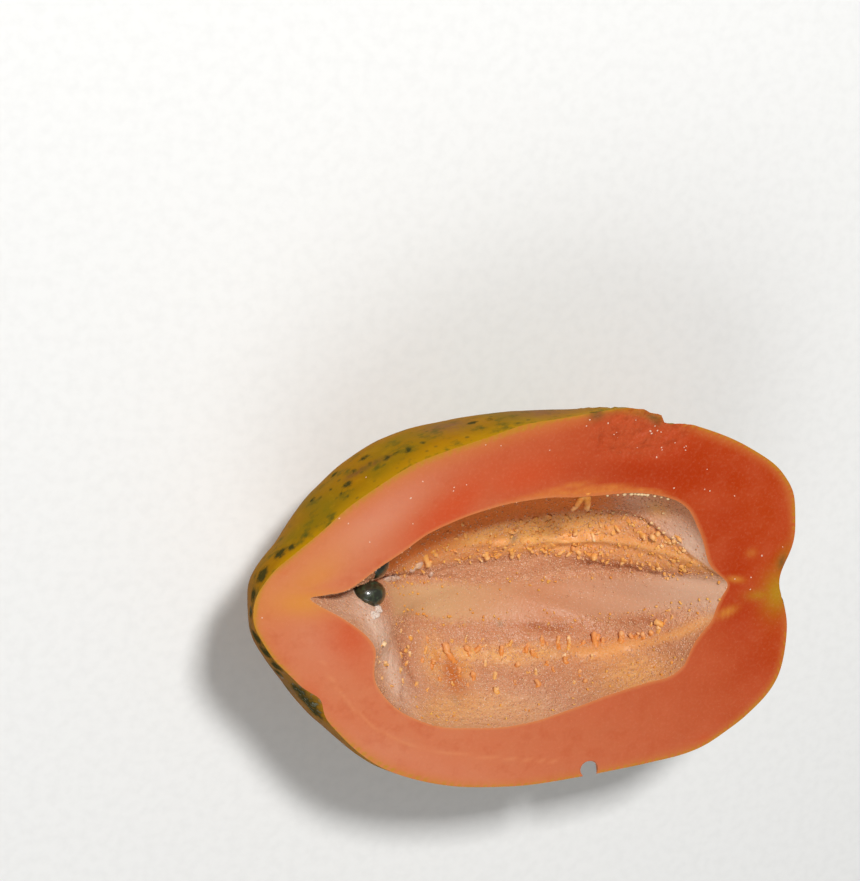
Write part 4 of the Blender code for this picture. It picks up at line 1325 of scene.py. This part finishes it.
def stalk_material(name, deep, light, tip, gloss=0.35):
    """Soft wet tissue that runs from one tint to the other, with a paler end."""
    material, tree, surface = new_material(name)
    place = add(tree, "ShaderNodeTexCoord").outputs["Object"]
    cloud = add(tree, "ShaderNodeTexNoise", {"Vector": place, "Scale": 1 / (1.1 * MM)}).outputs["Fac"]
    colour = layered(
        tree,
        linear(deep),
        ((area(tree, "tint"), light), (cloud, 0.5, 0.75, 0.0, 0.5, "E8B87A"), (area(tree, "tip"), tip)),
    )
    fine = add(tree, "ShaderNodeTexNoise", {"Vector": place, "Scale": 1 / (0.35 * MM)}).outputs["Fac"]
    bump = add(tree, "ShaderNodeBump", {"Height": fine, "Strength": 0.4, "Distance": 0.12 * MM})
    tree.links.new(colour, surface.inputs["Base Color"])
    tree.links.new(bump.outputs[0], surface.inputs["Normal"])
    surface.inputs["Roughness"].default_value = 0.35
    surface.inputs["IOR"].default_value = 1.38
    surface.inputs["Specular IOR Level"].default_value = gloss
    surface.inputs["Subsurface Weight"].default_value = 0.1
    surface.inputs["Subsurface Radius"].default_value = (1.0, 0.6, 0.3)
    surface.inputs["Subsurface Scale"].default_value = 0.3 * MM
    return material


stalk_finish = stalk_material("wet_orange_stalk_tissue", "DC8236", "E4A048", "F0D0A4")
# Tint between the two stalk colours and how pale the free end is
STALK_TINTS = {"orange": (0.15, 0.35), "yellow": (0.85, 0.45), "pale": (1.0, 1.0), "olive": (1.0, 0.6)}
stalk_rng = np.random.default_rng(11)
stalk_heap = Heap()
for kind, (tint, pale) in STALK_TINTS.items():
    for base_x, base_y, tip_x, tip_y, width in STALKS[kind]:
        long = math.hypot(tip_x - base_x, tip_y - base_y)
        add_stalk(
            stalk_heap,
            (base_x * MM, base_y * MM),
            (tip_x * MM, tip_y * MM),
            1.3 * min(width, 1.25) * MM,
            (0.1 * long + 0.22 * width) * MM,
            tint,
            pale,
            stalk_rng,
        )
stalk_heap.piece("seed_stalks", stalk_finish)

# Two longer stalk ends that hang over the far edge of the mouth, the beads of tissue left along that edge
# and the crumbs on the wall below it. Under them come the white tuft and the clear sacs beside the seeds.
HANGING_ENDS = (
    ((9.2, 30.4, 53.7), (9.0, 27.2, 53.2), (8.4, 24.0, 50.2), 1.7),
    ((10.0, 30.4, 53.7), (11.0, 27.2, 53.0), (13.0, 23.6, 49.9), 1.9),
)
hanging_heap = Heap()
for start, middle, end, width in HANGING_ENDS:
    shares = np.linspace(0, 1, 16)[:, None]
    a, b, c = (np.array(spot) * MM for spot in (start, middle, end))
    path = (1 - shares) ** 2 * a + 2 * shares * (1 - shares) * b + shares**2 * c
    radii = width / 2 * MM * (1.5 - 1.0 * shares[:, 0] + 0.25 * hill((shares[:, 0] - 0.9) / 0.15))
    radii *= np.sqrt(1.03 - shares[:, 0] ** 8)
    points, faces = swept(path, radii, 12)
    points = points + 0.12 * width * MM * smooth_noise(points, 1.6 * MM, 31)[:, None]
    hanging_heap.add(points, faces, 0.2, np.append(np.repeat(shares[:, 0] ** 3, 12), (0.0, 1.0)) * 0.5)
# Middle and width of each bead and crumb, in millimetres
MOUTH_BEADS = (
    (20.6, 28.3, 1.1), (22.5, 28.6, 1.2), (24.6, 27.6, 1.2), (25.6, 28.9, 1.3), (27.2, 27.8, 1.1),
    (15.8, 28.0, 0.7), (33.3, 27.2, 0.9), (29.3, 27.6, 0.8), (23.6, 28.9, 0.9), (26.4, 28.6, 0.9),
    (31.3, 27.4, 0.6), (18.7, 28.4, 0.6),
)
BEAD_HALF_AXES = np.array((0.5, 0.42, 0.5))
BEAD_INSET = 0.45
BEAD_TOP = 54.6
for index, (x, y, size) in enumerate(MOUTH_BEADS):
    points, faces = ball(14, 10)
    swell = 1 + 0.3 * smooth_noise(points, 0.8, index)
    points = points * swell[:, None] * BEAD_HALF_AXES * size * MM
    while on_surface(x * MM, y * MM)[0][2] < TOP - 1 * MM:
        y += 0.1
    points = points + np.array((x, y - BEAD_INSET, BEAD_TOP - 0.4 * size)) * MM
    hanging_heap.add(points, faces, 0.8, np.full(len(points), 0.8))
WALL_CRUMBS = (
    (25.2, 17.6, 0.8), (28.0, 17.9, 1.2), (30.9, 17.9, 0.8), (34.1, 17.5, 1.0), (35.9, 17.1, 1.2),
    (37.5, 16.1, 1.0), (38.6, 15.1, 1.1), (40.4, 14.3, 0.9), (26.4, 18.5, 0.7), (35.7, 22.4, 0.9),
    (37.5, 20.7, 1.0), (32.6, 18.2, 0.7), (41.6, 13.2, 0.8), (29.4, 18.6, 0.6), (22.5, 18.0, 0.7),
    (19.5, 17.6, 0.6), (42.8, 12.1, 0.7),
)
CRUMB_HALF_AXES = np.array((0.5, 0.35, 0.35))
for index, (x, y, size) in enumerate(WALL_CRUMBS):
    points, faces = ball(12, 8)
    swell = 1 + 0.25 * smooth_noise(points, 0.8, 40 + index)
    points = points * swell[:, None] * CRUMB_HALF_AXES * size * MM
    hanging_heap.add(points + on_surface(x * MM, y * MM)[0], faces, 0.8, np.full(len(points), 0.6))
hanging_heap.piece("hanging_stalk_ends", stalk_material("orange_fibre_tissue", "DC8236", "E0A040", "E6CFA6"))


def add_lump(heap, middle, axes, turn, bumps, tint, pale, seed):
    """A soft lump of tissue with its half axes in millimetres and a turn about Z in degrees."""
    points, faces = ball(20, 14)
    swell = 1 + bumps * smooth_noise(points, 0.8, seed)
    placed = points * swell[:, None] * np.array(axes) * MM
    c, s = math.cos(math.radians(turn)), math.sin(math.radians(turn))
    placed = placed @ np.array(((c, s, 0), (-s, c, 0), (0, 0, 1))) + np.array(middle) * MM
    heap.add(placed, faces, tint, np.full(len(points), pale))


TUFT_AT = (-40.5, -2.2)
TUFT_HALF_LENGTH = 2.1
TUFT_SPREAD = 0.35
TUFT_LUMPS = 34
tuft_heap = Heap()
tuft_rng = np.random.default_rng(5)
for k in range(TUFT_LUMPS):
    x = TUFT_AT[0] + tuft_rng.uniform(-TUFT_HALF_LENGTH, TUFT_HALF_LENGTH)
    y = TUFT_AT[1] + tuft_rng.normal() * TUFT_SPREAD
    height = on_surface(x * MM, y * MM)[0][2] / MM
    add_lump(
        tuft_heap,
        (x, y, height + tuft_rng.uniform(0.0, 0.8)),
        tuft_rng.uniform(0.3, 0.65, 3),
        k * 40,
        0.2,
        1.0,
        0.9,
        k,
    )
add_lump(tuft_heap, (-40.1, 8.4, 42.5), (0.9, 0.6, 0.5), 20, 0.2, 0.4, 0.5, 77)
tuft_heap.piece("seed_tuft", stalk_material("white_seed_tuft", "CDB09A", "D8C0AC", "E6D4C6", 0.25))
# Middle, half axes, turn and seed of each clear sac
CLEAR_SACS = (
    (-32.1, -0.2, (1.45, 1.05, 0.9), 25, 1), (-29.9, -0.6, (1.2, 0.9, 0.7), 60, 2),
    (-28.4, -0.9, (0.8, 0.6, 0.5), 10, 3), (-23.0, 2.6, (1.3, 0.9, 0.6), 35, 4),
    (-24.6, 1.4, (0.9, 0.7, 0.5), 30, 5), (-18.0, -1.2, (0.8, 0.6, 0.5), 70, 6),
)
sac_heap = Heap()
for x, y, axes, turn, seed in CLEAR_SACS:
    height = on_surface(x * MM, y * MM)[0][2] / MM
    add_lump(sac_heap, (x, y, height + 0.35 * axes[2]), axes, turn, 0.16, 0.6, 0.1, seed)
sac_heap.piece("clear_seed_sacs", stalk_material("clear_seed_sac", "B89078", "C4A28C", "E0CEC0"))


# The sugary look of the lining: thousands of swollen cells and small stalk stubs, scattered over it by
# nodes, thick on the rough parts and thin on the smooth middle.
def scatter_tree(name, shape, material, mask):
    """Nodes that scatter one small shape over the lining, by density and a soft area's strength."""
    kinds = [("Density", "NodeSocketFloat"), ("Seed", "NodeSocketInt"), ("Smallest", "NodeSocketVector")]
    tree, entry = new_tree(name, kinds + [("Largest", "NodeSocketVector")])
    where = add(
        tree, "GeometryNodeInputNamedAttribute", {"Name": mask}, data_type="FLOAT"
    ).outputs["Attribute"]
    finish = add(tree, "GeometryNodeInputMaterialIndex").outputs[0]
    lining = add(
        tree, "FunctionNodeCompare", {2: finish, 3: LINING}, data_type="INT", operation="EQUAL"
    ).outputs[0]
    density = add(tree, "ShaderNodeMath", {0: entry["Density"], 1: where}, operation="MULTIPLY").outputs[0]
    spread = add(
        tree,
        "GeometryNodeDistributePointsOnFaces",
        {
            "Mesh": entry["Geometry"],
            "Selection": lining,
            "Density": density,
            "Seed": entry["Seed"],
        },
    )
    spin_range = {0: (-0.5, -0.5, -3.14), 1: (0.5, 0.5, 3.14), "Seed": 3}
    spin = add(tree, "FunctionNodeRandomValue", spin_range, data_type="FLOAT_VECTOR").outputs[0]
    turned = add(
        tree, "FunctionNodeRotateRotation", {0: spread.outputs["Rotation"], 1: spin}, rotation_space="LOCAL"
    ).outputs[0]
    size_range = {0: entry["Smallest"], 1: entry["Largest"], "Seed": 8}
    size = add(tree, "FunctionNodeRandomValue", size_range, data_type="FLOAT_VECTOR").outputs[0]
    source = add(tree, "GeometryNodeObjectInfo", {"Object": shape}).outputs["Geometry"]
    placed = add(
        tree,
        "GeometryNodeInstanceOnPoints",
        {"Points": spread.outputs["Points"], "Instance": source, "Rotation": turned, "Scale": size},
    ).outputs[0]
    tint = add(tree, "FunctionNodeRandomValue", {"Seed": 21}, data_type="FLOAT").outputs[1]
    tinted = add(
        tree,
        "GeometryNodeStoreNamedAttribute",
        {"Geometry": placed, "Name": "tint", "Value": tint},
        data_type="FLOAT",
        domain="INSTANCE",
    ).outputs[0]
    real = add(tree, "GeometryNodeRealizeInstances", {"Geometry": tinted}).outputs[0]
    done = add(tree, "GeometryNodeSetMaterial", {"Geometry": real, "Material": material}).outputs[0]
    add(tree, "NodeGroupOutput", {"Geometry": done})
    return tree


def scatter(name, shape, material, mask, values):
    """Scatters a shape over the lining and keeps it as a plain mesh piece."""
    carrier = place_object(name + "_carrier", papaya_half.data)
    modifier = carrier.modifiers.new("scatter", "NODES")
    modifier.node_group = scatter_tree(name + "_nodes", shape, material, mask)
    set_inputs(modifier, values)
    item = plain_copy(carrier, name)
    item.data.shade_smooth()
    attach(item, "root")


def small_shape(name, subdivisions, stretch, bend, seed):
    """A small soft lump about 1 mm across, to be scattered."""
    shape = bmesh.new()
    bmesh.ops.create_icosphere(shape, subdivisions=subdivisions, radius=0.5 * MM)
    rng = np.random.default_rng(seed)
    for vert in shape.verts:
        vert.co *= 1 + rng.normal() * 0.04
        vert.co.z *= stretch
        vert.co.z += 0.25 * stretch * MM
        vert.co.x += bend * vert.co.z**2 / MM
    mesh = bpy.data.meshes.new(name)
    shape.to_mesh(mesh)
    shape.free()
    return place_object(name, mesh)


clump_finish = stalk_material("soft_orange_clump", "E2964C", "EAAA5E", "F2D8BC", 0.25)
clump_shape = small_shape("clump_shape", 3, 0.8, 0.2, 9)
scatter(
    "orange_clumps",
    clump_shape,
    clump_finish,
    "clumpy",
    {"Density": 1.5e5, "Seed": 7, "Smallest": (0.7, 0.6, 0.2), "Largest": (2.2, 1.6, 0.5)},
)
bpy.data.objects.remove(clump_shape, do_unlink=True)
cell_finish = stalk_material("sugary_cell_tissue", "D0966E", "E0B090", "F2E0D0", 0.25)
cell_shape = small_shape("cell_shape", 1, 0.7, 0.0, 2)
scatter(
    "lining_cells",
    cell_shape,
    cell_finish,
    "grainy",
    {"Density": 1.2e6, "Seed": 4, "Smallest": (0.3, 0.3, 0.15), "Largest": (0.75, 0.7, 0.36)},
)
stub_finish = stalk_material("yellow_stub_tissue", "DE9240", "E2AE58", "F2DCC8", 0.2)
stub_shape = small_shape("stub_shape", 2, 1.5, 0.35, 6)
scatter(
    "stalk_stubs",
    stub_shape,
    stub_finish,
    "stubbly",
    {"Density": 2.4e5, "Seed": 12, "Smallest": (0.35, 0.35, 0.25), "Largest": (0.9, 0.8, 0.6)},
)
bpy.data.objects.remove(cell_shape, do_unlink=True)
bpy.data.objects.remove(stub_shape, do_unlink=True)


# Small drops of juice and sugar that dried on the cut face, most of them in and beside the torn flesh.
# Their pale tint is partly painted highlight, standing in for the glints of the moist flesh.
# Each has its place and width in millimetres.
JUICE_DROPS_AND_GLINTS = (
    (8.0, 49.5, 1.0), (7.3, 47.9, 0.8), (13.7, 48.2, 1.0), (16.4, 45.8, 0.6), (15.8, 45.2, 0.7),
    (16.9, 44.4, 0.6), (27.0, 47.2, 0.9), (25.9, 45.9, 1.3), (26.3, 45.3, 1.1), (28.1, 45.9, 1.0),
    (29.2, 45.5, 1.0), (27.5, 44.9, 0.8), (29.7, 41.5, 0.9), (29.8, 40.9, 0.8), (36.3, 41.9, 0.8),
    (36.2, 40.9, 0.9), (35.8, 41.6, 0.7), (28.3, 39.1, 1.1), (21.5, 48.8, 0.7), (22.6, 41.7, 0.6),
    (33.3, 42.7, 0.7), (43.3, 30.2, 0.8), (52.4, 28.1, 0.8), (43.2, 35.6, 0.7), (-37.7, 30.5, 1.1),
    (-47.3, 34.0, 0.9), (-35.0, 34.7, 0.9), (-26.6, 32.9, 0.8), (-26.7, 32.0, 0.8), (-23.4, 33.5, 0.7),
    (-15.3, 43.3, 0.7), (-19.4, 43.6, 0.7), (-2.0, 41.8, 0.7), (-36.5, 23.9, 0.7), (-47.3, 19.6, 0.8),
    (-55.6, 26.0, 0.9), (-53.2, 24.6, 0.8), (63.3, 11.1, 1.2), (61.0, 5.1, 1.0), (61.3, 1.7, 0.9),
    (56.1, 4.9, 0.9), (69.3, 13.3, 0.7), (-73.1, 1.4, 0.8), (34.3, 30.8, 1.0), (44.9, 29.7, 0.9),
)
drop_heap = Heap()
for index, (x, y, size) in enumerate(JUICE_DROPS_AND_GLINTS):
    spot = on_surface(x * MM, y * MM)[0] / MM
    add_lump(drop_heap, spot, (0.25 * size, 0.18 * size, 0.1 * size), index * 47, 0.15, 0.5, 0.7, index)
drop_heap.piece("juice_drops", stalk_material("juice_drop_painted_glint", "D89878", "DCA88C", "E8C8B4", 0.25))


# Floor, light and camera. A plain pale floor carries the half, a soft lamp stands high over the far rim,
# so that the rim throws a short shadow into the cavity, and a wide fill lights it from the near side.
floor_shape = bmesh.new()
bmesh.ops.create_grid(floor_shape, x_segments=1, y_segments=1, size=3.0)
floor_mesh = bpy.data.meshes.new("floor")
floor_shape.to_mesh(floor_mesh)
floor_shape.free()
floor = place_object("floor", floor_mesh)
floor_finish, floor_tree, floor_surface = new_material("matt_pale_table")
floor_place = add(floor_tree, "ShaderNodeTexCoord").outputs["Object"]
floor_grain = add(
    floor_tree, "ShaderNodeTexNoise", {"Vector": floor_place, "Scale": 1 / (3 * MM)}
).outputs["Fac"]
floor_tint = layered(floor_tree, linear("EDEDEB"), ((floor_grain, 0.4, 0.7, 0.0, 0.5, "E6E6E4"),))
floor_tree.links.new(floor_tint, floor_surface.inputs["Base Color"])
floor_surface.inputs["Roughness"].default_value = 0.8
floor.data.materials.append(floor_finish)


def add_lamp(name, direction, distance, size, power):
    """Soft square lamp that looks at the middle of the fruit."""
    lamp = bpy.data.lights.new(name, "AREA")
    lamp.size = size
    lamp.energy = power
    item = bpy.data.objects.new(name, lamp)
    aim = Vector(direction).normalized()
    item.location = Vector((0, 0, TOP)) + aim * distance
    item.rotation_euler = aim.to_track_quat("Z", "Y").to_euler()
    bpy.context.scene.collection.objects.link(item)


add_lamp("key", direction=(-0.10, 0.58, 0.80), distance=1.2, size=0.16, power=12.9)
add_lamp("fill", direction=(-0.35, -0.6, 0.75), distance=1.5, size=1.0, power=6.5)
world = bpy.data.worlds.new("studio")
world.use_nodes = True
world.node_tree.nodes["Background"].inputs["Color"].default_value = (1.0, 1.0, 1.0, 1.0)
world.node_tree.nodes["Background"].inputs["Strength"].default_value = 0.2
bpy.context.scene.world = world
bpy.context.scene.view_settings.view_transform = "Standard"

CAMERA_AT = Vector((-0.21398, 0.18373, 0.48300))
CAMERA_RIGHT = Vector((0.928351, 0.092543, 0.360000))
CAMERA_UP = Vector((0.021265, 0.953702, -0.300000))
FOCAL_PIXELS = 2016.0
PHOTO_HEIGHT = 881.0
SENSOR_WIDTH = 36.0
camera = bpy.data.cameras.new("camera")
camera.sensor_width = SENSOR_WIDTH
camera.lens = FOCAL_PIXELS / PHOTO_HEIGHT * SENSOR_WIDTH
camera_object = bpy.data.objects.new("camera", camera)
turn = Matrix((CAMERA_RIGHT, CAMERA_UP, CAMERA_RIGHT.cross(CAMERA_UP))).transposed()
camera_object.matrix_world = Matrix.Translation(CAMERA_AT) @ turn.to_4x4()
bpy.context.scene.collection.objects.link(camera_object)
bpy.context.scene.camera = camera_object
